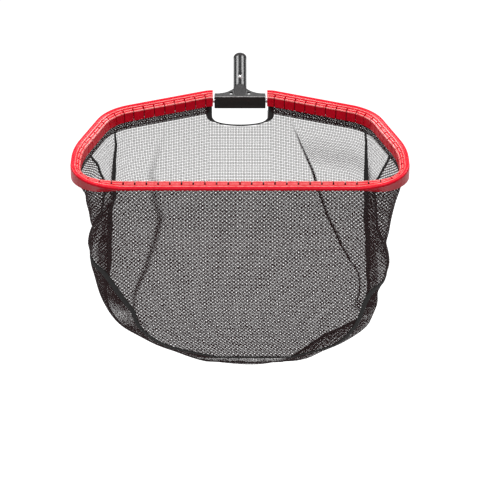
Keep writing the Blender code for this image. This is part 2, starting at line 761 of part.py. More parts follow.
def make_spring():
    high = leg_height()
    bend = SPRING_LENGTH - SPRING_BEND_RADIUS
    line = [Vector((SPRING_LEG_END, high)), Vector((SPRING_LEG_FLAT, high))]
    for step in range(SPRING_BEND_STEPS + 1):
        angle = math.pi * (0.5 - step / SPRING_BEND_STEPS)
        spoke = Vector((math.cos(angle), math.sin(angle)))
        line.append(Vector((bend, 0)) + spoke * SPRING_BEND_RADIUS)
    line += [Vector((p.x, -p.y)) for p in line[1::-1]]
    outer, inner = [], []
    for i, point in enumerate(line):
        way = (line[min(i + 1, len(line) - 1)] - line[max(i - 1, 0)]).normalized()
        side = Vector((-way.y, way.x)) * SPRING_THICKNESS / 2
        outer.append(point + side)
        inner.append(point - side)
    strip = plate("clip_spring", outer + inner[::-1], SPRING_WIDTH)
    turn = Euler((math.pi / 2, 0, math.pi / 2))
    as_mesh(place(strip, HANDLE_AXIS, STAINLESS, rotation=turn))


def make_buttons():
    base = leg_height() + SPRING_THICKNESS / 2 + CLEARANCE
    top = TUBE_RADIUS + BUTTON_PROUD
    radius = BUTTON_DIAMETER / 2
    profile = []
    for step in range(DOME_STEPS + 1):
        angle = math.pi / 2 * (1 - step / DOME_STEPS)
        profile.append((radius * math.cos(angle), top - radius + radius * math.sin(angle)))
    profile[0] = (0, top)
    profile += [(radius, base), (0, base)]
    for name, turn in (("clip_button_upper", 0), ("clip_button_lower", math.pi)):
        button = turned(name, profile, SMALL_SIDES)
        place(button, HANDLE_AXIS, STAINLESS, (0, BUTTON_PLACE, 0), (0, turn, 0))


def top_length(x, y):
    """How far along the bag's top line the point nearest to this place on the rod lies."""
    gaps = [(Vector(point[:2]) - Vector((x, y))).length for point in TOP_LINE]
    return float(TOP_LENGTHS[int(np.argmin(gaps))])


clear_scene()
PARTS = new_collection("leaf_skimmer_net")
CUTTERS = new_collection("cutters", hidden=True)
HANDLE_AXIS = new_empty("handle_axis", (0, 0, 0), (TILT, 0, 0))
HOOP_FRAME = new_empty("hoop_frame", HOOP_ORIGIN)

RED_PLASTIC = material("red_plastic", (0.75, 0.02, 0.045), 0.35)
ALUMINIUM = material("aluminium", (0.75, 0.75, 0.76), 0.35, 1.0)
BLACK_MESH = material("black_mesh", (0.02, 0.018, 0.018), 0.8)
BLACK_TAPE = material("black_tape", (0.012, 0.011, 0.011), 0.85)
CAST_BLACK = material("cast_black", (0.03, 0.03, 0.032), 0.55)
GLOSS_BLACK = material("gloss_black", (0.015, 0.015, 0.016), 0.25)
STAINLESS = material("stainless", (0.8, 0.8, 0.8), 0.25, 1.0)

TOP_LINE, TOP_LENGTHS = bag_top()
SHOULDER_LENGTH = top_length(-SHOULDER_HALF_WIDTH, SHOULDER_Y)
CORNER_LENGTH = top_length(-HOOP_HALF_WIDTH, CORNER_RADIUS)
SEAM_LINES = seam_line(0), seam_line(1)

make_rod()
make_rim()
make_sleeve()
make_panels()
make_gusset_and_seams()
make_mouth_binding()
make_yoke()
make_screws()
make_tube()
make_spring()
make_buttons()
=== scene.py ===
"""Dresses the leaf skimmer net: rod hoop, knitted bag, red channel, cast yoke and handle tube."""

import math

import bmesh
import bpy
import numpy as np
from mathutils import Matrix, Vector


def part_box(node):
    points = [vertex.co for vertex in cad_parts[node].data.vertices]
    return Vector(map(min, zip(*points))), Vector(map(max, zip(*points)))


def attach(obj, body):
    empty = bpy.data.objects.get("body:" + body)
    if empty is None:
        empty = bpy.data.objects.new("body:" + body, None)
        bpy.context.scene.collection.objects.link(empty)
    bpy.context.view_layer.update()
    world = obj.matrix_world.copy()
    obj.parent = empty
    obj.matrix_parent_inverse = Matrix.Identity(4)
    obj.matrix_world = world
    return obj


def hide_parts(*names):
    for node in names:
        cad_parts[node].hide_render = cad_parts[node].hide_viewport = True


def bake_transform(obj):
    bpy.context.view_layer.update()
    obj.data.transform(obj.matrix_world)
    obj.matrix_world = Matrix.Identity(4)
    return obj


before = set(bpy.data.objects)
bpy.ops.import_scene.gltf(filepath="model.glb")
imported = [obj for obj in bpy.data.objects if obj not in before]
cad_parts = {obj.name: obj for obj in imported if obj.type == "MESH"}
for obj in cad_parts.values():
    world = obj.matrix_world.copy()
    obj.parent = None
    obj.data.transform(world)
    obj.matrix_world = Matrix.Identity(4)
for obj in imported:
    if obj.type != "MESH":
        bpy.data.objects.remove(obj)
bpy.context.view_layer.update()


# Hoop rod. One drawn aluminium rod, bent to the scoop's outline, carries the net and the red channel.
# Its ends sit in the yoke's sockets, and a little of it shows between the channel and the yoke.
ROD_RADIUS = 0.00475
ROD_END = 0.0276
HOOP_DEPTH = 0.3365
HOOP_HALF_WIDTH = 0.2964
CORNER_RADIUS = 0.052
SHOULDER = (-0.2445, 0.2595)
LIP_LEAN = math.radians(61)
LEAN_START = 0.205
HOOP_PLACE = np.array((0, -0.35383, -0.01585))
HOOP_CORNERS = (
    (-ROD_END, HOOP_DEPTH, 0),
    (-0.0595, HOOP_DEPTH, 0.030),
    (*SHOULDER, 0.090),
    (-HOOP_HALF_WIDTH, 0.1087, 0.200),
    (-HOOP_HALF_WIDTH, 0, CORNER_RADIUS),
    (0, 0, 0),
)


def rounded(corners, step=math.radians(2)):
    """Points along a line of (x, y, radius) corners, with an arc at each inner one."""
    points = [np.array(corners[0][:2], float)]
    for before, corner, after in zip(corners, corners[1:], corners[2:]):
        tip = np.array(corner[:2], float)
        back = np.array(before[:2]) - tip
        back /= np.linalg.norm(back)
        onward = np.array(after[:2]) - tip
        onward /= np.linalg.norm(onward)
        turn = math.pi - math.acos(back @ onward)
        inward = (back + onward) / np.linalg.norm(back + onward)
        middle = tip + inward * corner[2] / math.cos(turn / 2)
        first = tip + back * corner[2] * math.tan(turn / 2) - middle
        way = 1 if first[1] * back[0] > first[0] * back[1] else -1
        for angle in way * np.linspace(0, turn, math.ceil(turn / step) + 1):
            c, s = math.cos(angle), math.sin(angle)
            points.append(middle + (c * first[0] - s * first[1], s * first[0] + c * first[1]))
    points.append(np.array(corners[-1][:2], float))
    return np.array(points)


def run_length(points):
    """The length along a line of points, at each of them."""
    return np.concatenate([[0], np.cumsum(np.linalg.norm(np.diff(points, axis=0), axis=1))])


def eased(share):
    share = np.clip(share, 0, 1)
    return share * share * (3 - 2 * share)


def stations(end, spacing):
    """Places round the hoop from x = -end on one arm to x = end on the other: the rod's middle, the
    way out from the hoop, and how far the section leans outwards there."""
    half = rounded(HOOP_CORNERS)
    line = np.concatenate([half, half[-2::-1] * (-1, 1)])
    length = run_length(line)
    widest = int(np.argmin(line[:, 0]))
    start = np.interp(end, -line[: widest + 1, 0], length[: widest + 1])
    count = 2 * round((length[-1] / 2 - start) / spacing) + 1
    spots = np.linspace(start, length[-1] - start, count)
    points = np.stack([np.interp(spots, length, line[:, k]) for k in range(2)], axis=-1)
    way = np.gradient(points, axis=0)
    way /= np.linalg.norm(way, axis=1)[:, None]
    flat = np.zeros(count)
    out = np.stack((way[:, 1], -way[:, 0], flat), axis=-1)
    corner_end = HOOP_HALF_WIDTH - CORNER_RADIUS + CORNER_RADIUS * math.pi / 2
    from_lip = np.abs(spots - length[-1] / 2)
    lean = LIP_LEAN * (1 - eased((from_lip - LEAN_START) / (corner_end - LEAN_START)))
    return np.column_stack((points, flat)) + HOOP_PLACE, out, lean


def on_hoop(places, outward, up):
    """Points of the leaning section, one row of them for each place on the hoop."""
    at, out, lean = places
    across = np.outer(np.cos(lean), outward) + np.outer(np.sin(lean), up)
    rise = np.outer(np.cos(lean), up) - np.outer(np.sin(lean), outward)
    return at[:, None] + out[:, None] * across[..., None] + np.array((0, 0, 1)) * rise[..., None]


def put(name, mesh):
    made = bpy.data.objects.new(name, mesh)
    bpy.context.scene.collection.objects.link(made)
    return made


def skin(name, rows, ring=True, sharp=None):
    """A mesh over rows of points. A ring closes each row on itself, with caps at the two ends."""
    count, width = rows.shape[:2]
    spots = np.arange(count * width).reshape(count, width)
    after = np.roll(spots, -1, axis=1)
    last = width if ring else width - 1
    quads = np.stack((spots[:-1], after[:-1], after[1:], spots[1:]), axis=-1)[:, :last]
    faces = [tuple(quad) for quad in quads.reshape(-1, 4).tolist()]
    if ring:
        faces += [tuple(spots[0].tolist()[::-1]), tuple(spots[-1].tolist())]
    mesh = bpy.data.meshes.new(name)
    mesh.from_pydata(rows.reshape(-1, 3).tolist(), [], faces)
    return settled(name, mesh, sharp)


def settled(name, mesh, sharp=None):
    """An object of a mesh whose doubles are merged, whose faces point outwards and are smooth."""
    bm = bmesh.new()
    bm.from_mesh(mesh)
    bmesh.ops.remove_doubles(bm, verts=bm.verts, dist=1e-6)
    bmesh.ops.recalc_face_normals(bm, faces=bm.faces)
    bm.to_mesh(mesh)
    bm.free()
    mesh.shade_smooth()
    if sharp:
        mesh.set_sharp_from_angle(angle=math.radians(sharp))
    return put(name, mesh)


def node(tree, kind, inputs=(), **settings):
    """A node with its settings. Its inputs, by name or number, are values or other nodes' outputs."""
    made = tree.nodes.new(kind)
    for key, value in settings.items():
        setattr(made, key, value)
    for key, value in dict(inputs).items():
        if isinstance(value, bpy.types.NodeSocket):
            tree.links.new(value, made.inputs[key])
        else:
            made.inputs[key].default_value = value
    return made


def finish(name, colour, roughness, metallic=0.0):
    """A material, and its tree and shader."""
    made = bpy.data.materials.new(name)
    made.use_nodes = True
    shader = made.node_tree.nodes["Principled BSDF"]
    shader.inputs["Base Color"].default_value = (*colour, 1)
    shader.inputs["Roughness"].default_value = roughness
    shader.inputs["Metallic"].default_value = metallic
    return made, made.node_tree, shader


def noise(tree, scale, detail=3.0, stretch=(1, 1, 1)):
    """Noise on the piece's own coordinates, finer with a larger scale."""
    place = node(tree, "ShaderNodeTexCoord").outputs["Object"]
    spread = node(tree, "ShaderNodeMapping", {"Vector": place, "Scale": stretch}).outputs[0]
    inputs = {"Vector": spread, "Scale": scale, "Detail": detail}
    return node(tree, "ShaderNodeTexNoise", inputs).outputs["Fac"]


def ranged(tree, source, low, high, start=0.3, end=0.7):
    inputs = {"Value": source, "From Min": start, "From Max": end, "To Min": low, "To Max": high}
    return node(tree, "ShaderNodeMapRange", inputs).outputs["Result"]


def tinted(tree, shader, share, first, second):
    """Colours the shader between two colours by a share."""
    inputs = {"Factor": share, 6: (*first, 1), 7: (*second, 1)}
    mixed = node(tree, "ShaderNodeMix", inputs, data_type="RGBA").outputs[2]
    tree.links.new(mixed, shader.inputs["Base Color"])


def embossed(tree, shader, height, distance, strength=1.0):
    inputs = {"Height": height, "Distance": distance, "Strength": strength}
    tree.links.new(node(tree, "ShaderNodeBump", inputs).outputs[0], shader.inputs["Normal"])


drawn_aluminium, tree, shader = finish("drawn_aluminium", (0.78, 0.78, 0.79), 0.3, 1.0)
streaks = noise(tree, 260, 4.0, (0.15, 1, 1))
tree.links.new(ranged(tree, streaks, 0.24, 0.42), shader.inputs["Roughness"])
tinted(tree, shader, ranged(tree, noise(tree, 40), 0, 1), (0.72, 0.72, 0.73), (0.82, 0.82, 0.83))
embossed(tree, shader, streaks, 0.00004)

turn = np.linspace(0, 2 * math.pi, 20, endpoint=False)
rod_rows = on_hoop(stations(ROD_END, 0.005), ROD_RADIUS * np.cos(turn), ROD_RADIUS * np.sin(turn))
rod = skin("hoop_rod_bar", rod_rows, sharp=50)
rod.data.materials.append(drawn_aluminium)
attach(rod, "skimmer")
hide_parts("hoop_rod")


# Rod screws. A stainless pan-head screw at the back of each socket holds the rod's end.
# The head is domed, with a cross recess for the driver.
SCREW_SPOTS = (-0.03775, 0.03775)
SCREW_SEAT = 0.00815
SCREW_PROFILE = (
    (0, 0.0030),
    (0.0014, 0.00292),
    (0.0027, 0.0026),
    (0.0036, 0.0019),
    (0.0040, 0.0010),
    (0.0040, 0.0003),
    (0.0038, 0),
    (0.0025, 0),
    (0.0025, -0.0031),
    (0, -0.0031),
)


def turned(name, profile, sides, sharp=40):
    """A profile of (radius, height) points turned about Z."""
    angle = np.linspace(0, 2 * math.pi, sides, endpoint=False)
    rows = [[(r * math.cos(a), r * math.sin(a), z) for a in angle] for r, z in profile]
    mesh = bpy.data.meshes.new(name)
    spots = np.arange(len(profile) * sides).reshape(len(profile), sides)
    after = np.roll(spots, -1, axis=1)
    quads = np.stack((spots[:-1], spots[1:], after[1:], after[:-1]), axis=-1)
    mesh.from_pydata(sum(rows, []), [], [tuple(q) for q in quads.reshape(-1, 4).tolist()])
    return settled(name, mesh, sharp)


def plain(obj, name, sharp=None):
    """The object as its modifiers show it, as a new object with a plain mesh in the same place."""
    bpy.context.view_layer.update()
    shown = obj.evaluated_get(bpy.context.evaluated_depsgraph_get())
    mesh = bpy.data.meshes.new_from_object(shown)
    bpy.data.objects.remove(obj)
    mesh.shade_smooth()
    if sharp:
        mesh.set_sharp_from_angle(angle=math.radians(sharp))
    return put(name, mesh)


def cut(obj, *cutters):
    """Adds a cut to the object for each cutter, which later goes."""
    for cutter in cutters:
        step = obj.modifiers.new(cutter.name, "BOOLEAN")
        step.operation = "DIFFERENCE"
        step.object = cutter
        step.solver = "EXACT"
        cutter.hide_render = True


def box(name, low, high):
    bm = bmesh.new()
    middle = (Vector(low) + Vector(high)) / 2
    size = Matrix.Diagonal((*(Vector(high) - Vector(low)), 1))
    bmesh.ops.create_cube(bm, size=1, matrix=Matrix.Translation(middle) @ size)
    mesh = bpy.data.meshes.new(name)
    bm.to_mesh(mesh)
    bm.free()
    return put(name, mesh)


def tree_of(name, sockets):
    """An empty Geometry Nodes tree with these named inputs."""
    tree = bpy.data.node_groups.new(name, "GeometryNodeTree")
    tree.interface.new_socket("Geometry", in_out="INPUT", socket_type="NodeSocketGeometry")
    for label, kind in sockets:
        tree.interface.new_socket(label, in_out="INPUT", socket_type=f"NodeSocket{kind}")
    tree.interface.new_socket("Geometry", in_out="OUTPUT", socket_type="NodeSocketGeometry")
    return tree, tree.nodes.new("NodeGroupInput").outputs


def grown(name, tree, base, values):
    """What a tree makes of a base mesh with these inputs, as an object with a plain mesh."""
    made = put(name + "_base", base)
    step = made.modifiers.new(tree.name, "NODES")
    step.node_group = tree
    for item in tree.interface.items_tree:
        if item.in_out == "INPUT" and item.name in values:
            step[item.identifier] = values[item.name]
    return plain(made, name)


def copies_tree():
    """Puts a copy of one piece at each point of the base, turned as the point's "turn" says."""
    tree, given = tree_of("placed_copies", (("Copy", "Object"), ("Finish", "Material")))
    copy = node(tree, "GeometryNodeObjectInfo", {"Object": given["Copy"]}).outputs["Geometry"]
    turn = node(tree, "GeometryNodeInputNamedAttribute", {"Name": "turn"}, data_type="FLOAT_VECTOR")
    turned_by = node(tree, "FunctionNodeEulerToRotation", {0: turn.outputs[0]}).outputs[0]
    inputs = {"Points": given["Geometry"], "Instance": copy, "Rotation": turned_by}
    placed = node(tree, "GeometryNodeInstanceOnPoints", inputs).outputs[0]
    solid = node(tree, "GeometryNodeRealizeInstances", {"Geometry": placed}).outputs[0]
    inputs = {"Geometry": solid, "Material": given["Finish"]}
    done = node(tree, "GeometryNodeSetMaterial", inputs).outputs[0]
    node(tree, "NodeGroupOutput", {"Geometry": done})
    return tree


def copies(name, piece, points, turns, coat):
    """One mesh of copies of a piece at these points, after which the piece itself goes."""
    base = bpy.data.meshes.new(name)
    base.from_pydata([tuple(point) for point in points], [], [])
    base.attributes.new("turn", "FLOAT_VECTOR", "POINT")
    base.attributes["turn"].data.foreach_set("vector", np.ravel(turns).astype(np.float32))
    made = grown(name, PLACED_COPIES, base, {"Copy": piece, "Finish": coat})
    bpy.data.objects.remove(piece)
    return made


PLACED_COPIES = copies_tree()

stainless, tree, shader = finish("stainless", (0.72, 0.72, 0.73), 0.25, 1.0)
scuffs = noise(tree, 900, 5.0)
tree.links.new(ranged(tree, scuffs, 0.18, 0.36), shader.inputs["Roughness"])
tinted(tree, shader, ranged(tree, noise(tree, 120), 0, 1), (0.66, 0.66, 0.67), (0.78, 0.78, 0.79))
embossed(tree, shader, scuffs, 0.00003)

screw = turned("rod_screw", SCREW_PROFILE, 40)
slots = [
    box("slot_across", (-0.0022, -0.0004, 0.0014), (0.0022, 0.0004, 0.004)),
    box("slot_along", (-0.0004, -0.0022, 0.0014), (0.0004, 0.0022, 0.004)),
]
cut(screw, *slots)
screw = plain(screw, "rod_screw_cut", 40)
for slot in slots:
    bpy.data.objects.remove(slot)
screw_spots = [(x, HOOP_PLACE[1] + HOOP_DEPTH + SCREW_SEAT, HOOP_PLACE[2]) for x in SCREW_SPOTS]
screw_turns = [(-math.pi / 2, 0.4, 0), (-math.pi / 2, 1.1, 0)]
screws = copies("rod_screws", screw, screw_spots, screw_turns, stainless)
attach(screws, "skimmer")
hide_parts("rod_screw_left", "rod_screw_right")


# Net bag. Black polyester mesh, sewn from a front panel cut on the bias, a back panel cut square and
# a gusset between them, with a doubled hem that goes over the rod inside the channel. It hangs slack.
HEM_DROP = 0.020
HEM_END = 0.0575
HEM_MIDDLE = 0.00535
HEM_GAP = 0.0008
HEM_LAYER = 0.0005
BAG_DEPTH = 0.432
BAG_TUCK = 0.026
BAG_FULLNESS = 4.8
BAG_WAIST = 0.047
BAG_WAIST_DEPTH = 0.11
BAG_BOTTOM_FRONT = 0.060
BAG_BOTTOM_BACK = 0.078
BAG_END = 0.985
BOTTOM_SPREAD = 0.13
BOTTOM_SAG = 0.010
DRAW_IN = 0.016
SWAY = 0.024
LEFT, RIGHT = -1, 1
BULGES = {
    LEFT: (
        (0.05, 0.035, -0.006), (0.14, 0.07, -0.0035), (0.245, 0.03, -0.005), (0.32, 0.04, 0.006),
        (0.42, 0.06, 0.004), (0.86, 0.05, -0.006),
    ),
    RIGHT: ((0.32, 0.05, -0.0055), (0.43, 0.05, 0.004), (0.59, 0.05, -0.008), (0.79, 0.05, 0.004)),
}
FRONT_SEAM = {
    LEFT: (
        (0, 0.415), (0.1, 0.433), (0.15, 0.446), (0.18, 0.451), (0.2, 0.433), (0.25, 0.409), (0.3, 0.383),
        (0.35, 0.345), (0.4, 0.297), (0.45, 0.272), (0.5, 0.263), (0.6, 0.248), (0.7, 0.236), (0.8, 0.250),
        (0.875, 0.266), (0.925, 0.265), (0.95, 0.246), (0.97, 0.212), (0.985, 0.172),
    ),
    RIGHT: (
        (0, 0.415), (0.1, 0.433), (0.175, 0.454), (0.25, 0.434), (0.3, 0.416), (0.375, 0.399), (0.425, 0.374),
        (0.475, 0.330), (0.55, 0.283), (0.6, 0.272), (0.65, 0.263), (0.8, 0.263), (0.875, 0.276), (0.9, 0.285),
        (0.925, 0.278), (0.95, 0.261), (0.97, 0.231), (0.985, 0.200),
    ),
}
BACK_SEAM = {
    LEFT: (
        (0, 0.521), (0.1, 0.504), (0.2, 0.485), (0.3, 0.480), (0.4, 0.467), (0.5, 0.449), (0.55, 0.431),
        (0.6, 0.400), (0.7, 0.350), (0.8, 0.332), (0.93, 0.335), (0.96, 0.360), (0.985, 0.430),
    ),
    RIGHT: (
        (0, 0.521), (0.1, 0.505), (0.2, 0.492), (0.3, 0.476), (0.4, 0.484), (0.5, 0.466), (0.55, 0.444),
        (0.6, 0.420), (0.7, 0.425), (0.775, 0.420), (0.8, 0.444), (0.875, 0.535), (0.95, 0.561),
        (0.97, 0.579), (0.985, 0.608),
    ),
}
CREASE_LINE = {
    LEFT: (
        (0, 0.632), (0.1, 0.609), (0.2, 0.586), (0.3, 0.591), (0.4, 0.604), (0.5, 0.586), (0.6, 0.562),
        (0.7, 0.517), (0.8, 0.470), (0.985, 0.520),
    ),
    RIGHT: (
        (0, 0.680), (0.1, 0.651), (0.2, 0.621), (0.3, 0.602), (0.4, 0.581), (0.5, 0.552), (0.55, 0.530),
        (0.6, 0.475), (0.7, 0.470), (0.8, 0.500), (0.875, 0.580), (0.95, 0.610), (0.985, 0.660),
    ),
}
CREASE_SIZE = {LEFT: (0.012, 0.008, 0.45, 0.80, 2.7), RIGHT: (0.0045, 0.012, 0.2, 0.70, 5.0)}
BACK_FACING = np.array((0, 0.854, -0.52))
GATHER = {
    LEFT: (
        (0, 1, 1, 1), (0.12, 1, 1, 1.2), (0.17, 1.2, 1.2, 2.5), (0.22, 1.2, 1.6, 3.6), (0.27, 1.3, 2.6, 4.0),
        (0.31, 2.2, 3.2, 4.0), (0.345, 2.6, 2.4, 4.0), (0.37, 2.8, 1.1, 4.0), (0.45, 3.4, 1.1, 4.0),
        (0.5, 3.6, 1.6, 3.6), (0.54, 3.6, 2.6, 3.2), (0.6, 3.2, 2.8, 3.0), (0.64, 2.6, 2.0, 2.8),
        (0.7, 2.2, 1.4, 2.6), (0.75, 2.4, 2.2, 2.6), (0.8, 2.6, 2.6, 2.6), (0.9, 2.2, 2.2, 2.2), (1, 1.6, 1.6, 1.6),
    ),
    RIGHT: (
        (0, 1, 1, 1), (0.12, 1, 1, 1.2), (0.17, 1.6, 2.0, 3.0), (0.22, 2.6, 3.2, 4.0), (0.36, 3.0, 3.6, 4.0),
        (0.4, 2.8, 3.0, 4.0), (0.45, 2.6, 1.8, 4.0), (0.5, 2.6, 1.1, 3.6), (0.55, 3.0, 1.2, 3.2),
        (0.58, 3.4, 2.4, 3.2), (0.65, 3.0, 2.2, 2.8), (0.72, 2.2, 1.6, 2.2), (0.8, 2.0, 1.6, 2.0),
        (0.88, 1.6, 1.4, 1.6), (1, 1.2, 1.2, 1.2),
    ),
}
GATHER_PLACES = (0.12, 0.22, 0.6, 0.72)
CLOTH_LAP = 0.003
MOUTH_HALF_WIDTH = 0.0546
MOUTH_DIP = 0.0229
MOUTH_ROUND = 0.22

hem_line = on_hoop(stations(HEM_END, 0.004), [-HEM_MIDDLE], [-HEM_DROP - HEM_GAP])[:, 0] - HOOP_PLACE
top_line = hem_line[len(hem_line) // 2 :: -1]
top_line = np.concatenate([top_line, [(0, *top_line[-1, 1:])]])
top_length = run_length(top_line)
back_middle = top_length[-1]


def bag_points(side, along, fall):
    """Points of one half of the hanging bag, by lengths along its top line and shares of its depth."""
    x, y, z = (np.interp(along, top_length, top_line[:, k]) for k in range(3))
    wide = np.sqrt(1 - fall**BAG_FULLNESS) + BOTTOM_SPREAD * np.clip((fall - 0.93) / 0.06, 0, 1) ** 2
    drawn = DRAW_IN * eased(fall / 0.1) * (1 - eased((fall - 0.65) / 0.2))
    waist = BAG_WAIST * eased(fall * BAG_DEPTH / BAG_WAIST_DEPTH)
    x = -x * wide * (1 - waist) * (1 - drawn)
    near_edge = eased(2 * x / (HOOP_HALF_WIDTH * wide) - 1)
    for place, spread, amount in BULGES[side]:
        x = x + near_edge * amount * np.exp(-(((fall - place) / spread) ** 2))
    front_top, back_top = top_line[0, 1], top_line[-1, 1]
    front = front_top + (BAG_BOTTOM_FRONT - front_top) * fall**2
    back = back_top + (BAG_BOTTOM_BACK - back_top) * fall
    share = (y - front_top) / (back_top - front_top)
    low = z - fall * (BAG_DEPTH - BAG_TUCK * (1 - share) + z)
    return np.stack((side * x + SWAY * fall**6, front + share * (back - front), low), axis=-1)


def followed(line, fall):
    """The value of a line of (share of depth, value) points at one share, with its corners eased."""
    near = fall + 0.012 * np.linspace(-1, 1, 7)
    return np.mean(np.interp(near, *np.transpose(line)))


def falls(last, count):
    """Shares of the bag's depth that are evenly spaced down its side."""
    fine = np.sin(np.linspace(0, math.asin(last), 200))
    side = np.array([bag_points(LEFT, 0.35, fall) for fall in fine])
    length = run_length(side)
    return np.interp(np.linspace(0, length[-1], count), length, fine)


def front_cloth():
    rows = []
    for fall in falls(BAG_END, 80):
        left = bag_points(LEFT, np.linspace(followed(FRONT_SEAM[LEFT], fall), 0, 70), fall)
        right = bag_points(RIGHT, np.linspace(0, followed(FRONT_SEAM[RIGHT], fall), 70), fall)
        rows.append(np.concatenate([left, right[1:]]))
    return np.array(rows)


def creased_half(side, fall):
    """One half of the back panel at a level, from its seam to its middle, with its crease."""
    half, depth, start, end, layers = CREASE_SIZE[side]
    crease = followed(CREASE_LINE[side], fall)
    outer = np.linspace(followed(BACK_SEAM[side], fall), crease - half, 26)
    across = crease + half * np.linspace(-1, 1, 9)[1:-1]
    inner = np.linspace(crease + half, back_middle, 40)
    lengths = np.concatenate([outer, across, inner])
    fold = eased(fall / start) * (1 - eased((fall - end) / 0.06)) * eased(1 - np.abs(lengths - crease) / half)
    return bag_points(side, lengths, fall), depth * fold, 1 + (layers - 1) * fold, back_middle - lengths


def mouth_sag(distance):
    return MOUTH_DIP * np.maximum(1 - (distance / MOUTH_HALF_WIDTH) ** 2, 0) ** MOUTH_ROUND


def back_cloth():
    """The back panel without its creases. With it, for each of its points: how deep its crease is, how
    far it is gathered, and how far it lies below the open edge under the yoke."""
    rows, dents, gathers, below = [], [], [], []
    for fall in falls(BAG_END, 80):
        halves = zip(creased_half(LEFT, fall), creased_half(RIGHT, fall))
        points, dent, gather, away = (np.concatenate([left, right[-2::-1]]) for left, right in halves)
        rows.append(points)
        dents.append(dent)
        gathers.append(gather)
        below.append(np.where(away < MOUTH_HALF_WIDTH, fall * BAG_DEPTH - mouth_sag(away), 1))
    return np.array(rows), {"dents": dents, "gathers": gathers, "below": below}


def gusset_cloth():
    """The strip from hem to hem: down the left side, across the bottom and up the right side. With it,
    how far it is gathered at each of its points."""
    shares = np.linspace(0, 1, 25)
    sides, gathers = {LEFT: [], RIGHT: []}, {LEFT: [], RIGHT: []}
    for side in (LEFT, RIGHT):
        levels, *columns = np.transpose(GATHER[side])
        columns.insert(1, columns[1])
        for fall in falls(BAG_END, 90):
            ends = followed(FRONT_SEAM[side], fall), followed(BACK_SEAM[side], fall)
            sides[side].append(bag_points(side, np.linspace(*ends, 25), fall))
            across = [followed(np.column_stack((levels, column)), fall) for column in columns]
            gathers[side].append(np.interp(shares, GATHER_PLACES, across))
    front = bottom_edge(FRONT_SEAM, 0, 40)
    back = bottom_edge(BACK_SEAM, back_middle, 40)
    bottom = front[:, None] * (1 - shares)[:, None] + back[:, None] * shares[:, None]
    dip = np.outer(np.sin(np.linspace(0, math.pi, len(bottom))), np.sin(math.pi * shares))
    bottom[..., 2] -= BOTTOM_SAG * dip
    below = np.tile(gathers[LEFT][-1], (len(bottom), 1))
    rows = np.concatenate([sides[LEFT], bottom, sides[RIGHT][::-1]])
    return rows, {"gathers": np.concatenate([gathers[LEFT], below, gathers[RIGHT][::-1]])}


def bottom_edge(seam, middle, count):
    """A panel's bottom edge, from the end of its left seam to the end of its right one."""
    ends = [followed(seam[side], BAG_END) for side in (LEFT, RIGHT)]
    left = bag_points(LEFT, np.linspace(ends[0], middle, count), BAG_END)
    right = bag_points(RIGHT, np.linspace(middle, ends[1], count), BAG_END)
    return np.concatenate([left[1:], right[1:-1]])


def hem_cloth(layer):
    """One layer of the doubled hem, up from the bag and over the rod inside the channel."""
    radius = HEM_MIDDLE - layer * HEM_LAYER
    turn = np.linspace(math.pi, 0, 13)
    outward = np.concatenate([np.full(12, -radius), radius * np.cos(turn), np.full(4, radius)])
    rise = np.linspace(-HEM_DROP - HEM_GAP, -0.001, 12)
    up = np.concatenate([rise, radius * np.sin(turn), np.linspace(-0.0015, -0.006, 4)])
    return on_hoop(stations(HEM_END, 0.004), outward, up) - HOOP_PLACE


def lapped(rows, lap):
    """The rows carried on past their edges, so that the cloth goes under the tape or hem there."""

    def carried(edge, inner):
        way = edge - inner
        return edge + lap * way / np.linalg.norm(way, axis=-1, keepdims=True)

    first = carried(rows[:, :1], rows[:, 1:2])
    rows = np.concatenate([first, rows, carried(rows[:, -1:], rows[:, -2:-1])], axis=1)
    return np.concatenate([carried(rows[:1], rows[1:2]), rows, carried(rows[-1:], rows[-2:-1])])


def cloth(name, rows, span, level, dents, below, gathers):
    """A surface over rows of points, creased by dents, which knows where each point lay in the flat
    cut. Rows run across the cut, longer there where they are gathered, and its middle is the centre.
    In a level cut each row is straight."""
    folded = rows + dents[..., None] * BACK_FACING
    made = skin(name, folded + HOOP_PLACE, ring=False)
    step = np.linalg.norm(np.diff(folded, axis=1), axis=2) * (gathers[:, 1:] + gathers[:, :-1]) / 2
    across = np.concatenate([np.zeros((len(rows), 1)), np.cumsum(step, axis=1)], axis=1)
    across -= across[:, across.shape[1] // 2][:, None]
    way = np.gradient(rows, axis=1)
    way /= np.maximum(np.linalg.norm(way, axis=2), 1e-9)[..., None]
    drop = np.diff(rows, axis=0)
    aside = (drop * way[:-1]).sum(-1)
    down = np.sqrt(np.maximum((drop * drop).sum(-1) - aside**2, 0))
    if level:
        down[:] = down.mean(axis=1)[:, None]
    down = np.concatenate([np.zeros((1, rows.shape[1])), np.cumsum(down, axis=0)])
    down -= down.max() / 2
    flat = np.stack((0.5 + across / span, 0.5 - down / span, np.zeros_like(down)), axis=-1)
    made.data.attributes.new("flat", "FLOAT_VECTOR", "POINT")
    made.data.attributes["flat"].data.foreach_set("vector", flat.ravel().astype(np.float32))
    made.data.attributes.new("below", "FLOAT", "POINT")
    made.data.attributes["below"].data.foreach_set("value", below.ravel().astype(np.float32))
    return made


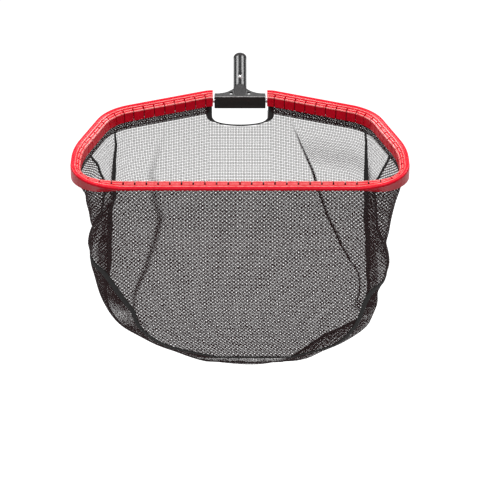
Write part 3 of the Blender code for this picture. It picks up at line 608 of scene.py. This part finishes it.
def threads_tree():
    """One set of threads over a cloth, at a pitch and a turn in its flat cut. Each thread is a pair
    of flat strands, which goes over and under the other set and ends at the cloth's edges."""
    sockets = (
        ("Cloth", "Object"),
        ("Span", "Float"),
        ("Pitch", "Float"),
        ("Threads", "Int"),
        ("Turn", "Float"),
        ("Strand half width", "Float"),
        ("Strand half gap", "Float"),
        ("Lift", "Float"),
        ("Finish", "Material"),
    )
    tree, given = tree_of("net_threads", sockets)

    def maths(operation, first, second=0.0):
        return node(tree, "ShaderNodeMath", {0: first, 1: second}, operation=operation).outputs[0]

    def axis(x=0.0, y=0.0, z=0.0):
        return node(tree, "ShaderNodeCombineXYZ", {0: x, 1: y, 2: z}).outputs[0]

    def attribute(name, kind):
        inputs = {"Name": name}
        return node(tree, "GeometryNodeInputNamedAttribute", inputs, data_type=kind).outputs[0]

    def stored(geometry, name, value, kind):
        inputs = {"Geometry": geometry, "Name": name, "Value": value}
        settings = {"data_type": kind, "domain": "POINT"}
        return node(tree, "GeometryNodeStoreNamedAttribute", inputs, **settings).outputs[0]

    def line_of(start, offset):
        inputs = {"Count": given["Threads"], "Start Location": start, "Offset": offset}
        return node(tree, "GeometryNodeMeshLine", inputs, mode="OFFSET").outputs[0]

    reach = maths("MULTIPLY", maths("SUBTRACT", given["Threads"], 1.0), given["Pitch"])
    start = maths("MULTIPLY", reach, -0.5)
    strand = line_of(axis(x=start), axis(x=given["Pitch"]))
    starts = line_of(axis(y=start), axis(y=given["Pitch"]))
    laid = node(tree, "GeometryNodeInstanceOnPoints", {"Points": starts, "Instance": strand}).outputs[0]
    single = node(tree, "GeometryNodeRealizeInstances", {"Geometry": laid}).outputs[0]
    index = node(tree, "GeometryNodeInputIndex").outputs[0]
    row = maths("FLOOR", maths("DIVIDE", index, given["Threads"]))
    column = maths("SUBTRACT", index, maths("MULTIPLY", row, given["Threads"]))
    odd = maths("MODULO", maths("ADD", row, column), 2.0)
    over = maths("SUBTRACT", maths("MULTIPLY", odd, 2.0), 1.0)
    marked = stored(single, "over", over, "FLOAT")
    pair = node(tree, "GeometryNodeJoinGeometry")
    for way in (1.0, -1.0):
        move = axis(y=maths("MULTIPLY", given["Strand half gap"], way))
        moved = node(tree, "GeometryNodeTransform", {"Geometry": marked, "Translation": move}).outputs[0]
        tree.links.new(moved, pair.inputs["Geometry"])
    turned_by = node(tree, "FunctionNodeEulerToRotation", {0: axis(z=given["Turn"])}).outputs[0]
    inputs = {"Geometry": pair.outputs[0], "Rotation": turned_by}
    lattice = node(tree, "GeometryNodeTransform", inputs).outputs[0]
    place = node(tree, "GeometryNodeInputPosition").outputs[0]
    span = axis(given["Span"], given["Span"], 1.0)
    scaled = node(tree, "ShaderNodeVectorMath", {0: place, 1: span}, operation="DIVIDE").outputs[0]
    inputs = {0: scaled, 1: (0.5, 0.5, 0)}
    in_cut = node(tree, "ShaderNodeVectorMath", inputs, operation="ADD").outputs[0]
    spotted = stored(lattice, "spot", in_cut, "FLOAT_VECTOR")
    surface = node(tree, "GeometryNodeObjectInfo", {"Object": given["Cloth"]}).outputs["Geometry"]
    spot = attribute("spot", "FLOAT_VECTOR")
    flat = attribute("flat", "FLOAT_VECTOR")

    def sampled(value, kind="FLOAT_VECTOR"):
        inputs = {0: surface, 1: value, 2: flat, 3: spot}
        return node(tree, "GeometryNodeSampleUVSurface", inputs, data_type=kind).outputs

    def logic(operation, first, second=False):
        return node(tree, "FunctionNodeBooleanMath", {0: first, 1: second}, operation=operation).outputs[0]

    on_cloth = sampled(node(tree, "GeometryNodeInputPosition").outputs[0])
    facing = sampled(node(tree, "GeometryNodeInputNormal").outputs[0])[0]
    depth = sampled(attribute("below", "FLOAT"), "FLOAT")[0]
    in_mouth = node(tree, "FunctionNodeCompare", {0: depth, 1: 0.0}, operation="LESS_THAN").outputs[0]
    outside = logic("OR", logic("NOT", on_cloth[1]), in_mouth)
    inputs = {"Geometry": stored(spotted, "facing", facing, "FLOAT_VECTOR"), "Selection": outside}
    trimmed = node(tree, "GeometryNodeDeleteGeometry", inputs, domain="POINT").outputs[0]
    rise = maths("MULTIPLY", attribute("over", "FLOAT"), given["Lift"])
    inputs = {0: attribute("facing", "FLOAT_VECTOR"), "Scale": rise}
    lifted = node(tree, "ShaderNodeVectorMath", inputs, operation="SCALE").outputs[0]
    inputs = {"Geometry": trimmed, "Position": on_cloth[0], "Offset": lifted}
    hung = node(tree, "GeometryNodeSetPosition", inputs).outputs[0]
    lines = node(tree, "GeometryNodeMeshToCurve", {"Mesh": hung}).outputs[0]
    inputs = {"Curve": lines, "Normal": attribute("facing", "FLOAT_VECTOR")}
    lines = node(tree, "GeometryNodeSetCurveNormal", inputs, mode="FREE").outputs[0]
    inputs = {"Resolution": 4, "Radius": given["Strand half width"]}
    section = node(tree, "GeometryNodeCurvePrimitiveCircle", inputs, mode="RADIUS").outputs[0]
    inputs = {"Geometry": section, "Scale": (0.4, 1, 1)}
    section = node(tree, "GeometryNodeTransform", inputs).outputs[0]
    inputs = {"Curve": lines, "Profile Curve": section, "Fill Caps": True}
    spun = node(tree, "GeometryNodeCurveToMesh", inputs).outputs[0]
    for name in ("over", "spot", "facing"):
        spun = node(tree, "GeometryNodeRemoveAttribute", {"Geometry": spun, "Name": name}).outputs[0]
    inputs = {"Geometry": spun, "Material": given["Finish"]}
    done = node(tree, "GeometryNodeSetMaterial", inputs).outputs[0]
    node(tree, "NodeGroupOutput", {"Geometry": done})
    return tree


NET_THREADS = threads_tree()


def net(name, replaced, rows, pitch, half_width, half_gap, turn=0.0, span=1.0, level=False, **more):
    """Both sets of threads over one cut of cloth, each set a plain mesh."""
    nothing = np.zeros(rows.shape[:2])
    extra = {"dents": nothing, "below": nothing + 1, "gathers": nothing + 1, **more}
    extra = {key: np.pad(value, 1, mode="edge") for key, value in extra.items()}
    surface = cloth(name + "_cloth", lapped(rows, CLOTH_LAP), span, level, **extra)
    for way, angle in (("warp", turn), ("weft", turn + math.pi / 2)):
        values = {
            "Cloth": surface,
            "Span": span,
            "Pitch": pitch,
            "Threads": 2 * math.ceil(span * 0.72 / pitch),
            "Turn": angle,
            "Strand half width": half_width,
            "Strand half gap": half_gap,
            "Lift": 0.6 * half_width,
            "Finish": black_thread,
        }
        made = grown(f"{name}_{way}", NET_THREADS, bpy.data.meshes.new(name), values)
        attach(made, "skimmer")
        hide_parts(replaced)
    bpy.data.objects.remove(surface)


black_thread, tree, shader = finish("black_thread", (0.034, 0.022, 0.023), 0.6)
fibres = noise(tree, 1400, 3.0)
tinted(tree, shader, ranged(tree, fibres, 0, 1), (0.017, 0.0055, 0.006), (0.050, 0.020, 0.022))
tree.links.new(ranged(tree, noise(tree, 300), 0.5, 0.75), shader.inputs["Roughness"])
embossed(tree, shader, fibres, 0.00012)
shader.inputs["Specular IOR Level"].default_value = 0.25

net("net_front", "net_front_panel", front_cloth(), 0.0056, 0.00065, 0.00092, math.radians(45), level=True)
back_rows, back_folds = back_cloth()
net("net_back", "net_back_panel", back_rows, 0.0051, 0.00037, 0.0010, level=True, **back_folds)
gusset_rows, gusset_folds = gusset_cloth()
net("net_side_gusset", "net_gusset", gusset_rows, 0.0051, 0.0004, 0.0010, 0.0, 1.4, True, **gusset_folds)
net("net_hem_outer", "net_sleeve", hem_cloth(-1), 0.0040, 0.0005, 0.0007, 0.0, 2.0)
net("net_hem_inner", "net_sleeve", hem_cloth(1), 0.0040, 0.0005, 0.0007, math.radians(45), 2.0)


# Seam and mouth bindings. Folded black tape, sewn over the raw edges of the net along both side
# seams and along the open edge below the yoke, where it also closes the ends of the hem.
FRONT_TAPE = ((0, 0.0032), (0.33, 0.0032), (0.42, 0.0050), (0.6, 0.0050), (0.75, 0.0036), (0.9, 0.0030),
              (0.98, 0.0018), (1, 0.0016))
BACK_TAPE = (
    (0, 0.0016), (0.1, 0.0040), (0.16, 0.0064), (0.25, 0.0085), (0.4, 0.0085), (0.52, 0.0064), (0.62, 0.0036),
    (0.9, 0.0026), (0.98, 0.0013), (1, 0.0012),
)
SEAM_THICKNESS = 0.0013
MOUTH_TAPE = 0.0014
HEM_END_TAPE = 0.0055
MOUTH_THICKNESS = 0.0012

black_tape, tree, shader = finish("black_tape", (0.012, 0.011, 0.011), 0.75)
weave = noise(tree, 1100, 2.0)
tinted(tree, shader, ranged(tree, weave, 0, 1), (0.007, 0.007, 0.007), (0.024, 0.022, 0.022))
embossed(tree, shader, weave, 0.0002)


def tape(name, line, facing, half_widths, thickness):
    """A flat folded tape along a line, lying square to the cloth there."""
    way = np.gradient(line, axis=0)
    way /= np.linalg.norm(way, axis=1)[:, None]
    aside = np.cross(way, facing)
    aside /= np.linalg.norm(aside, axis=1)[:, None]
    out = np.cross(aside, way)
    angle = np.linspace(0, 2 * math.pi, 16, endpoint=False)
    c, s = np.cos(angle), np.sin(angle)
    wide = np.outer(half_widths, np.sign(c) * np.abs(c) ** 0.6)
    thick = thickness * np.sign(s) * np.abs(s) ** 0.6
    rows = line[:, None] + aside[:, None] * wide[..., None] + out[:, None] * thick[:, None]
    made = skin(name, rows + HOOP_PLACE)
    made.data.materials.append(black_tape)
    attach(made, "skimmer")
    return made


def facing_at(side, along, fall):
    """The way that the bag's cloth faces at one place."""
    across = bag_points(side, along + 0.002, fall) - bag_points(side, along - 0.002, fall)
    down = bag_points(side, along, min(fall + 0.004, 0.99)) - bag_points(side, along, max(fall - 0.004, 0))
    way = np.cross(across, down)
    return way / np.linalg.norm(way) * side


def seam_path(seam, middle, widths):
    """The middle of a seam from the hem round the bottom to the other hem, with its facing and width."""
    places = []
    for fall in falls(BAG_END, 120):
        places.append((LEFT, followed(seam[LEFT], fall), fall))
    for along in np.linspace(followed(seam[LEFT], BAG_END), middle, 24)[1:-1]:
        places.append((LEFT, along, BAG_END))
    for along in np.linspace(middle, followed(seam[RIGHT], BAG_END), 24)[:-1]:
        places.append((RIGHT, along, BAG_END))
    for fall in falls(BAG_END, 120)[::-1]:
        places.append((RIGHT, followed(seam[RIGHT], fall), fall))
    line = np.array([bag_points(*place) for place in places])
    facing = np.array([facing_at(*place) for place in places])
    return line, facing, [followed(widths, fall) for _, _, fall in places]


front_tape = tape("front_seam_binding_tape", *seam_path(FRONT_SEAM, 0, FRONT_TAPE), SEAM_THICKNESS)
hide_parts("front_seam_binding")
back_tape = tape("back_seam_binding_tape", *seam_path(BACK_SEAM, back_middle, BACK_TAPE), SEAM_THICKNESS)
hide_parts("back_seam_binding")

turn = math.pi / 2 * np.linspace(0, 1, 50) ** 1.5
mouth_widths = MOUTH_TAPE + (HEM_END_TAPE - MOUTH_TAPE) * (1 - eased(turn / 0.55))
edge = []
for angle, width in zip(turn, mouth_widths):
    distance = MOUTH_HALF_WIDTH * math.cos(angle)
    spot = bag_points(LEFT, back_middle - distance, mouth_sag(distance) / BAG_DEPTH)
    edge.append(spot - (width - MOUTH_TAPE, 0, 0))
hem_end = hem_cloth(0)[0, 11:1:-1]
hem_end[:, 0] = edge[0][0]
left_edge = np.concatenate([hem_end, edge])
left_widths = np.concatenate([np.full(len(hem_end), HEM_END_TAPE), mouth_widths])
mouth_line = np.concatenate([left_edge, left_edge[-2::-1] * (-1, 1, 1)])
mouth_facing = np.tile(BACK_FACING, (len(mouth_line), 1))
mouth_widths = np.concatenate([left_widths, left_widths[-2::-1]])
mouth_tape = tape("mouth_binding_tape", mouth_line, mouth_facing, mouth_widths, MOUTH_THICKNESS)
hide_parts("mouth_binding")


# Scoop rim. A moulded red plastic channel snapped over the rod, with three fine ridges on its sloping
# top, and slits through its inner edge that let it follow the bends. It leans out to a lip in front.
RIM_END = 0.0515
RIM_HALF_WIDTH = 0.00865
RIM_WALL = 0.002
RIM_INNER_TOP = 0.0105
RIM_DROP = 0.008
RIM_SLOPE = math.radians(33)
RIM_ROUND = 0.003
RIDGE_STARTS = (0.0004, 0.0048, 0.0096)
RIDGE_RISE = 0.0008
RIDGE_FALL = 0.0014
RIDGE_HEIGHT = 0.0004
# Strips of the rim's profile that get the painted highlight.
HIGHLIGHT_STRIPS = (2, 3, 4, 5, 6, 9, 10, 13, 14)
SLIT_PITCH = 0.0208
SLIT_WIDTH = 0.0018
SLIT_HOLE_RADIUS = 0.0017
SLIT_REACH = 0.0052


def rim_profile():
    """The channel's section at the back, from the foot of the inner wall over the top and back."""
    run = 2 * RIM_HALF_WIDTH / math.cos(RIM_SLOPE)
    top, ridges = [0], [0]
    for start in RIDGE_STARTS:
        crest = start + RIDGE_RISE
        top += [start, crest - 0.0002, crest + 0.0002, crest + RIDGE_FALL]
        ridges += [0, 0.9 * RIDGE_HEIGHT, 0.95 * RIDGE_HEIGHT, 0]
    top = np.array([*top, run - 0.0072])
    ridges = np.array([*ridges, 0])
    u = -RIM_HALF_WIDTH + top * math.cos(RIM_SLOPE) - ridges * math.sin(RIM_SLOPE)
    v = RIM_INNER_TOP + top * math.sin(RIM_SLOPE) + ridges * math.cos(RIM_SLOPE)
    turn = math.pi / 2 + RIM_SLOPE
    peak = RIM_INNER_TOP + run * math.sin(RIM_SLOPE)
    middle = np.array((RIM_HALF_WIDTH - RIM_ROUND, peak - RIM_ROUND * math.tan(turn / 2)))
    angle = np.linspace(turn, 0, 12)
    arc = middle + RIM_ROUND * np.stack((np.cos(angle), np.sin(angle)), axis=-1)
    inside = RIM_HALF_WIDTH - RIM_WALL
    thick = RIM_WALL / math.cos(RIM_SLOPE)
    ease = 0.0004
    points = [
        (-RIM_HALF_WIDTH, -RIM_DROP + ease),
        (-RIM_HALF_WIDTH, 0.0),
        (-RIM_HALF_WIDTH, RIM_INNER_TOP - 0.0006),
        *zip(u, v),
        *arc,
        (RIM_HALF_WIDTH, 0.002),
        (RIM_HALF_WIDTH, -RIM_DROP + ease),
        (RIM_HALF_WIDTH - ease, -RIM_DROP),
        (inside + ease, -RIM_DROP),
        (inside, -RIM_DROP + ease),
        (inside, middle[1] - RIM_WALL),
        (-inside, RIM_INNER_TOP + RIM_WALL * math.tan(RIM_SLOPE) - thick),
        (-inside, -RIM_DROP + ease),
        (-inside - ease, -RIM_DROP),
        (-RIM_HALF_WIDTH + ease, -RIM_DROP),
    ]
    return np.array(points)


def slit_piece():
    """One slit's cutter about the rod's middle, a slot that ends in a round hole: X outwards, Y along
    the rim, Z up."""
    half = SLIT_WIDTH / 2
    start, stop = -RIM_HALF_WIDTH - RIM_WALL, -RIM_HALF_WIDTH + SLIT_REACH
    opening = math.pi - math.asin(half / SLIT_HOLE_RADIUS)
    outline = [(start, -half)]
    for angle in np.linspace(-opening, opening, 11):
        outline.append((stop + SLIT_HOLE_RADIUS * math.cos(angle), SLIT_HOLE_RADIUS * math.sin(angle)))
    outline.append((start, half))
    low, high = -RIM_DROP - RIM_WALL, RIM_INNER_TOP + RIM_HALF_WIDTH
    rows = np.array([[(x, y, z) for x, y in outline] for z in (low, high)])
    return skin("slit", rows)


red_plastic, tree, shader = finish("red_plastic", (0.86, 0.005, 0.024), 0.34)
shader.inputs["Specular IOR Level"].default_value = 0.12
flow = noise(tree, 55, 4.0)
tinted(tree, shader, ranged(tree, flow, 0, 1), (0.81, 0.004, 0.020), (0.90, 0.007, 0.029))
tree.links.new(ranged(tree, noise(tree, 500, 4.0), 0.28, 0.42), shader.inputs["Roughness"])
embossed(tree, shader, noise(tree, 1600, 2.0), 0.00005)

# Painted highlight: a pale pink copy of the red plastic, put on the ridge facets and the inner edge to stand in for
# the thin lines of light that they catch.
painted_highlight_red, tree, shader = finish("painted_highlight_red", (0.92, 0.22, 0.21), 0.25)
highlight_mottle = noise(tree, 140, 4.0)
tinted(tree, shader, ranged(tree, highlight_mottle, 0, 1), (0.88, 0.11, 0.11), (0.94, 0.28, 0.26))
tree.links.new(ranged(tree, highlight_mottle, 0.2, 0.34), shader.inputs["Roughness"])

profile = rim_profile()
rim_places = stations(RIM_END, 0.004)
rim = skin("scoop_rim_channel", on_hoop(rim_places, profile[:, 0], profile[:, 1]))
rim.data.materials.append(red_plastic)
rim.data.materials.append(painted_highlight_red)
# The painted highlight goes on these strips of the profile, all round the rim.
for face in rim.data.polygons[: (len(rim_places[0]) - 1) * len(profile)]:
    if face.index % len(profile) in HIGHLIGHT_STRIPS:
        face.material_index = 1
at, out, lean = rim_places
along = run_length(at)
count = int((along[-1] / 2 - SLIT_PITCH / 2) / SLIT_PITCH)
slit_spots = along[-1] / 2 + SLIT_PITCH * np.arange(-count, count + 1)
spots = np.stack([np.interp(slit_spots, along, at[:, k]) for k in range(3)], axis=-1)
heading = np.interp(slit_spots, along, np.unwrap(np.arctan2(out[:, 1], out[:, 0])))
leaning = np.interp(slit_spots, along, lean)
turns = []
for way, tip in zip(heading, leaning):
    turns.append((Matrix.Rotation(way, 3, "Z") @ Matrix.Rotation(tip, 3, "Y")).to_euler())
slits = copies("rim_slits", slit_piece(), spots, turns, red_plastic)
cut(rim, slits)
rim = plain(rim, "scoop_rim_moulding", 40)
bpy.data.objects.remove(slits)
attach(rim, "skimmer")
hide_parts("scoop_rim")


# Yoke. A black-painted casting: a front plate with a web behind it, a socket at each end for the rod,
# and a round root that the handle tube goes on. Its edges and corners are soft, as cast.
YOKE_GRAIN = 0.0006
YOKE_HALF_WIDTH = 0.0485
HANDLE_TILT = Matrix.Rotation(math.radians(13), 4, "X")
HANDLE_ROOT = 0.026
WEB_HALF_THICKNESS = 0.002
WEB_FRONT = 0.0015
WEB_BACK = 0.0117
WEB_RISE = 0.0140
WEB_SWEEP = 2.7
WEB_NECK = 0.0127
WEB_HOLE_RADIUS = 0.0037
WEB_HOLE_PLACE = (0.017, 0.0118)
PLATE_SKIN = 0.0008
PLATE_EDGE = 0.0016


def web_rows():
    """The web's outline, with its sweep up to the handle, at its underside and its top."""
    across = np.linspace(YOKE_HALF_WIDTH - 0.0004, WEB_NECK, 24)
    share = (across - WEB_NECK) / (YOKE_HALF_WIDTH - WEB_NECK)
    back = WEB_BACK + WEB_RISE * (1 - share) ** WEB_SWEEP - HANDLE_ROOT
    right = np.column_stack((across, back))
    outline = np.concatenate([[(across[0], WEB_FRONT - HANDLE_ROOT)], right])
    outline = np.concatenate([outline, outline[::-1] * (-1, 1)])
    return np.array([np.insert(outline, 2, z, axis=1) for z in (-WEB_HALF_THICKNESS, WEB_HALF_THICKNESS)])


cast_black, tree, shader = finish("cast_black", (0.03, 0.03, 0.032), 0.5)
sand = noise(tree, 900, 4.0)
tinted(tree, shader, ranged(tree, sand, 0, 1), (0.018, 0.017, 0.017), (0.060, 0.058, 0.060))
tree.links.new(ranged(tree, noise(tree, 350), 0.42, 0.62), shader.inputs["Roughness"])
embossed(tree, shader, sand, 0.00025)

# The plate's front face has its own smoother black with fine horizontal lines. This colour is also made darker than
# the casting, to paint the shade that the front face gets.
plate_black_with_painted_shade, tree, shader = finish("plate_black_with_painted_shade", (0.012, 0.0085, 0.0075), 0.6)
lines = noise(tree, 420, 3.0, (0.04, 1, 1))
tinted(tree, shader, ranged(tree, lines, 0, 1), (0.007, 0.005, 0.0045), (0.018, 0.0125, 0.0115))
tree.links.new(ranged(tree, noise(tree, 350), 0.5, 0.7), shader.inputs["Roughness"])
embossed(tree, shader, lines, 0.00012)

# Painted highlight: a light grey strip along the plate's rounded top edge, standing in for the line of light that
# the edge catches.
painted_highlight_edge, tree, shader = finish("painted_highlight_edge", (0.25, 0.24, 0.24), 0.4, 0.5)
edge_highlight_mottle = noise(tree, 260, 4.0)
tinted(tree, shader, ranged(tree, edge_highlight_mottle, 0, 1), (0.12, 0.115, 0.115), (0.36, 0.35, 0.35))
tree.links.new(ranged(tree, edge_highlight_mottle, 0.5, 0.35), shader.inputs["Roughness"])

yoke = settled("yoke_copy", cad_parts["yoke_casting"].data.copy())
web = skin("yoke_web", web_rows())
web.data.transform(HANDLE_TILT)
bm = bmesh.new()
bm.from_mesh(yoke.data)
bm.from_mesh(web.data)
bm.to_mesh(yoke.data)
bm.free()
bpy.data.objects.remove(web)
remesh = yoke.modifiers.new("Cast skin", "REMESH")
remesh.mode = "VOXEL"
remesh.voxel_size = YOKE_GRAIN
soften = yoke.modifiers.new("Soft edges", "SMOOTH")
soften.factor = 0.5
soften.iterations = 5
yoke = plain(yoke, "yoke_skin")
holes = []
for side in (LEFT, RIGHT):
    profile = ((0, 0.006), (WEB_HOLE_RADIUS, 0.006), (WEB_HOLE_RADIUS, -0.006), (0, -0.006))
    hole = turned(f"web_hole_{side}", profile, 40)
    spot = (side * WEB_HOLE_PLACE[0], WEB_HOLE_PLACE[1] - HANDLE_ROOT, 0)
    hole.data.transform(HANDLE_TILT @ Matrix.Translation(spot))
    holes.append(hole)
cut(yoke, *holes)
yoke = plain(yoke, "yoke_body", 45)
for hole in holes:
    bpy.data.objects.remove(hole)
yoke.data.materials.clear()
yoke.data.materials.append(cast_black)
yoke.data.materials.append(plate_black_with_painted_shade)
yoke.data.materials.append(painted_highlight_edge)
plate_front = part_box("yoke_casting")[0][1]
for face in yoke.data.polygons:
    # Faces that point to the front take the darker black, which is partly painted shade.
    if face.center.y < plate_front + PLATE_SKIN and face.normal.y < -0.9:
        face.material_index = 1
    # Faces along the plate's top edge take the painted highlight.
    elif face.center.y < plate_front + PLATE_EDGE and face.normal.z > 0.3:
        face.material_index = 2
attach(yoke, "skimmer")
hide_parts("yoke_casting")


# Handle tube. A glossy black tube on the yoke's spigot, which slides into a pole. It has a pair of
# holes for the spring clip's buttons and one spare hole above.
TUBE_RADIUS = 0.0125
BORE_RADIUS = 0.0105
TUBE_START = 0.0003
TUBE_END = 0.0955
TUBE_EASE = 0.0005
TUBE_DIP = 0.0085
BUTTON_PLACE = 0.0197
SPARE_PLACE = 0.0328
HOLE_RADIUS = 0.0038

gloss_black, tree, shader = finish("gloss_black", (0.015, 0.015, 0.016), 0.2)
wear = noise(tree, 180, 5.0, (1, 0.12, 1))
tinted(tree, shader, ranged(tree, wear, 0, 1), (0.010, 0.010, 0.011), (0.024, 0.024, 0.025))
tree.links.new(ranged(tree, wear, 0.2, 0.28), shader.inputs["Roughness"])
embossed(tree, shader, wear, 0.000002)
shader.inputs["Specular IOR Level"].default_value = 0.38

dull_black, tree, shader = finish("dull_black", (0.02, 0.018, 0.018), 0.6)
scuffs = noise(tree, 420, 4.0)
tinted(tree, shader, ranged(tree, scuffs, 0, 1), (0.012, 0.010, 0.010), (0.045, 0.041, 0.042))
tree.links.new(ranged(tree, scuffs, 0.5, 0.68), shader.inputs["Roughness"])
shader.inputs["Specular IOR Level"].default_value = 0.15

ring = (
    (TUBE_RADIUS - TUBE_EASE, TUBE_END),
    (TUBE_RADIUS, TUBE_END - TUBE_EASE),
    (TUBE_RADIUS, TUBE_END - TUBE_DIP),
    (TUBE_RADIUS, TUBE_START + TUBE_EASE),
    (TUBE_RADIUS - TUBE_EASE, TUBE_START),
    (BORE_RADIUS + TUBE_EASE, TUBE_START),
    (BORE_RADIUS, TUBE_START + TUBE_EASE),
    (BORE_RADIUS, TUBE_END - TUBE_EASE),
    (BORE_RADIUS + TUBE_EASE, TUBE_END),
    (TUBE_RADIUS - TUBE_EASE, TUBE_END),
)
tube = turned("handle_tube_wall", ring, 96, 30)
through = turned("button_holes", ((0, 0.03), (HOLE_RADIUS, 0.03), (HOLE_RADIUS, -0.03), (0, -0.03)), 48)
through.data.transform(Matrix.Translation((0, 0, BUTTON_PLACE)) @ Matrix.Rotation(math.pi / 2, 4, "X"))
spare = turned("spare_hole", ((0, 0.03), (HOLE_RADIUS, 0.03), (HOLE_RADIUS, 0), (0, 0)), 48)
spare.data.transform(Matrix.Translation((0, 0, SPARE_PLACE)) @ Matrix.Rotation(math.pi / 2, 4, "X"))
cut(tube, through, spare)
tube = plain(tube, "handle_tube_gloss", 30)
for cutter in (through, spare):
    bpy.data.objects.remove(cutter)
tube.data.materials.clear()
tube.data.materials.append(gloss_black)
tube.data.materials.append(dull_black)
for face in tube.data.polygons:
    face.material_index = int(face.center.z > TUBE_END - TUBE_DIP)
tube.data.transform(HANDLE_TILT @ Matrix.Rotation(-math.pi / 2, 4, "X"))
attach(tube, "skimmer")
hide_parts("handle_tube")


# Spring clip. A bent stainless strip inside the tube with a domed satin button on each leg, which
# springs out through the tube's holes and locks in a pole.
SPRING_HALF_WIDTH = 0.004
SPRING_HALF_THICKNESS = 0.0004
SPRING_EASE = 0.7
SPRING_HEIGHT = 0.00898
SPRING_END = 0.0135
SPRING_END_ROUND = 0.0027
SPRING_FLAT = 0.025
SPRING_BEND = 0.059
SPRING_BEND_RADIUS = 0.003
BUTTON_BASE = 0.00968
BUTTON_TOP = 0.0175
BUTTON_RADIUS = 0.0035


def leg_rows():
    """Half of the strip, from the rounded free end of a leg to the middle of the bend."""
    flat = np.linspace((SPRING_END, SPRING_HEIGHT), (SPRING_FLAT, SPRING_HEIGHT), 16)
    slope = np.linspace(flat[-1], (SPRING_BEND, SPRING_BEND_RADIUS), 24)
    turn = np.linspace(math.pi / 2, 0, 10)[1:, None]
    bend = np.hstack((np.cos(turn), np.sin(turn))) * SPRING_BEND_RADIUS + (SPRING_BEND, 0)
    line = np.concatenate((flat, slope[1:], bend))
    way = np.gradient(line, axis=0)
    up = np.column_stack((-way[:, 1], way[:, 0])) / np.linalg.norm(way, axis=1)[:, None]
    left = np.clip(1 - (line[:, 0] - SPRING_END) / SPRING_END_ROUND, 0, 1)
    wide = SPRING_HALF_WIDTH * np.sqrt(1 - (0.95 * left) ** 2)
    corner = 1 - SPRING_EASE * SPRING_HALF_THICKNESS / SPRING_HALF_WIDTH
    ease = 1 - SPRING_EASE
    ring = ((corner, 1), (1, ease), (1, -ease), (corner, -1))
    ring += tuple((-a, -b) for a, b in ring)
    rows = []
    for spot, normal, half in zip(line, up, wide):
        lifts = [spot + normal * SPRING_HALF_THICKNESS * b for a, b in ring]
        rows.append([(half * a, *lift) for (a, b), lift in zip(ring, lifts)])
    return np.array(rows)


angle = np.linspace(math.pi / 2, 0, 14)
dome = [(BUTTON_RADIUS * math.cos(a), BUTTON_TOP + BUTTON_RADIUS * (math.sin(a) - 1)) for a in angle]
dome[0] = (0, BUTTON_TOP)

satin_steel, tree, shader = finish("satin_steel", (0.86, 0.86, 0.86), 0.5, 1.0)
grain = noise(tree, 700, 4.0)
tree.links.new(ranged(tree, grain, 0.42, 0.6), shader.inputs["Roughness"])
tinted(tree, shader, ranged(tree, grain, 0, 1), (0.82, 0.82, 0.82), (0.92, 0.92, 0.92))

button_profile = [*dome, (BUTTON_RADIUS, BUTTON_BASE + 0.0003), (BUTTON_RADIUS - 0.0003, BUTTON_BASE)]
button_profile.append((0, BUTTON_BASE))
for side, flip in (("upper", 0), ("lower", math.pi)):
    turn = HANDLE_TILT @ Matrix.Rotation(flip, 4, "Y")
    leg = skin(f"clip_spring_{side}_leg", leg_rows(), sharp=40)
    leg.data.transform(turn)
    leg.data.materials.append(satin_steel)
    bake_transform(leg)
    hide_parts("clip_spring")
    button = turned(f"clip_button_{side}_dome", button_profile, 48)
    button.data.transform(turn @ Matrix.Translation((0, BUTTON_PLACE, 0)))
    button.data.materials.append(satin_steel)
    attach(button, f"{side}_button")
    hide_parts(f"clip_button_{side}")


# Studio. A plain white floor far below the hanging net, a soft box above in front, a strip above and
# two boxes behind, and a camera in front that looks down at the scoop from thirty degrees.
FLOOR_HEIGHT = -1.3
CAMERA_RISE = math.radians(30)
CAMERA_DISTANCE = 4.5
CAMERA_LENS = 189.2
AIM = Vector((0, -0.402, -0.0993))

white_floor, tree, shader = finish("white_floor", (0.45, 0.45, 0.45), 0.9)
path = node(tree, "ShaderNodeLightPath").outputs
seen = node(tree, "ShaderNodeMath", {0: path["Is Camera Ray"], 1: path["Is Glossy Ray"]}, operation="ADD")
seen = node(tree, "ShaderNodeMath", {0: seen.outputs[0], 1: path["Is Transmission Ray"]}, operation="ADD")
shader.inputs["Emission Color"].default_value = (1, 1, 1, 1)
glow = node(tree, "ShaderNodeMath", {0: seen.outputs[0], 1: 0.85}, operation="MULTIPLY").outputs[0]
tree.links.new(glow, shader.inputs["Emission Strength"])
floor = box("studio_floor", (-20, -20, FLOOR_HEIGHT - 0.05), (20, 20, FLOOR_HEIGHT))
floor.data.materials.append(white_floor)

world = bpy.data.worlds.new("studio")
bpy.context.scene.world = world
world.use_nodes = True
sky = world.node_tree.nodes["Background"]
sky.inputs["Color"].default_value = (1, 1, 1, 1)
sky.inputs["Strength"].default_value = 0.2


def soft_box(name, place, size, power):
    lamp = bpy.data.lights.new(name, "AREA")
    lamp.shape = "RECTANGLE"
    lamp.size, lamp.size_y = size
    lamp.energy = power
    made = put(name, lamp)
    made.location = place
    made.rotation_euler = (AIM - Vector(place)).to_track_quat("-Z", "Y").to_euler()
    return made


soft_box("box_above", (0, -1.3, 2.3), (2.0, 1.0), 36)
soft_box("strip_above", (0, 0.7, 2.2), (2.4, 0.3), 22)
soft_box("box_back_left", (-1.4, 1.73, 1.7), (1.2, 1.0), 40)
soft_box("box_back_right", (1.4, 1.73, 1.7), (1.2, 1.0), 40)

lens = bpy.data.cameras.new("camera")
lens.lens = CAMERA_LENS
lens.sensor_width = 36
camera = put("camera", lens)
back = Vector((0, -math.cos(CAMERA_RISE), math.sin(CAMERA_RISE)))
camera.location = AIM + back * CAMERA_DISTANCE
camera.rotation_euler = (-back).to_track_quat("-Z", "Y").to_euler()
bpy.context.scene.camera = camera
bpy.context.scene.view_settings.view_transform = "Standard"
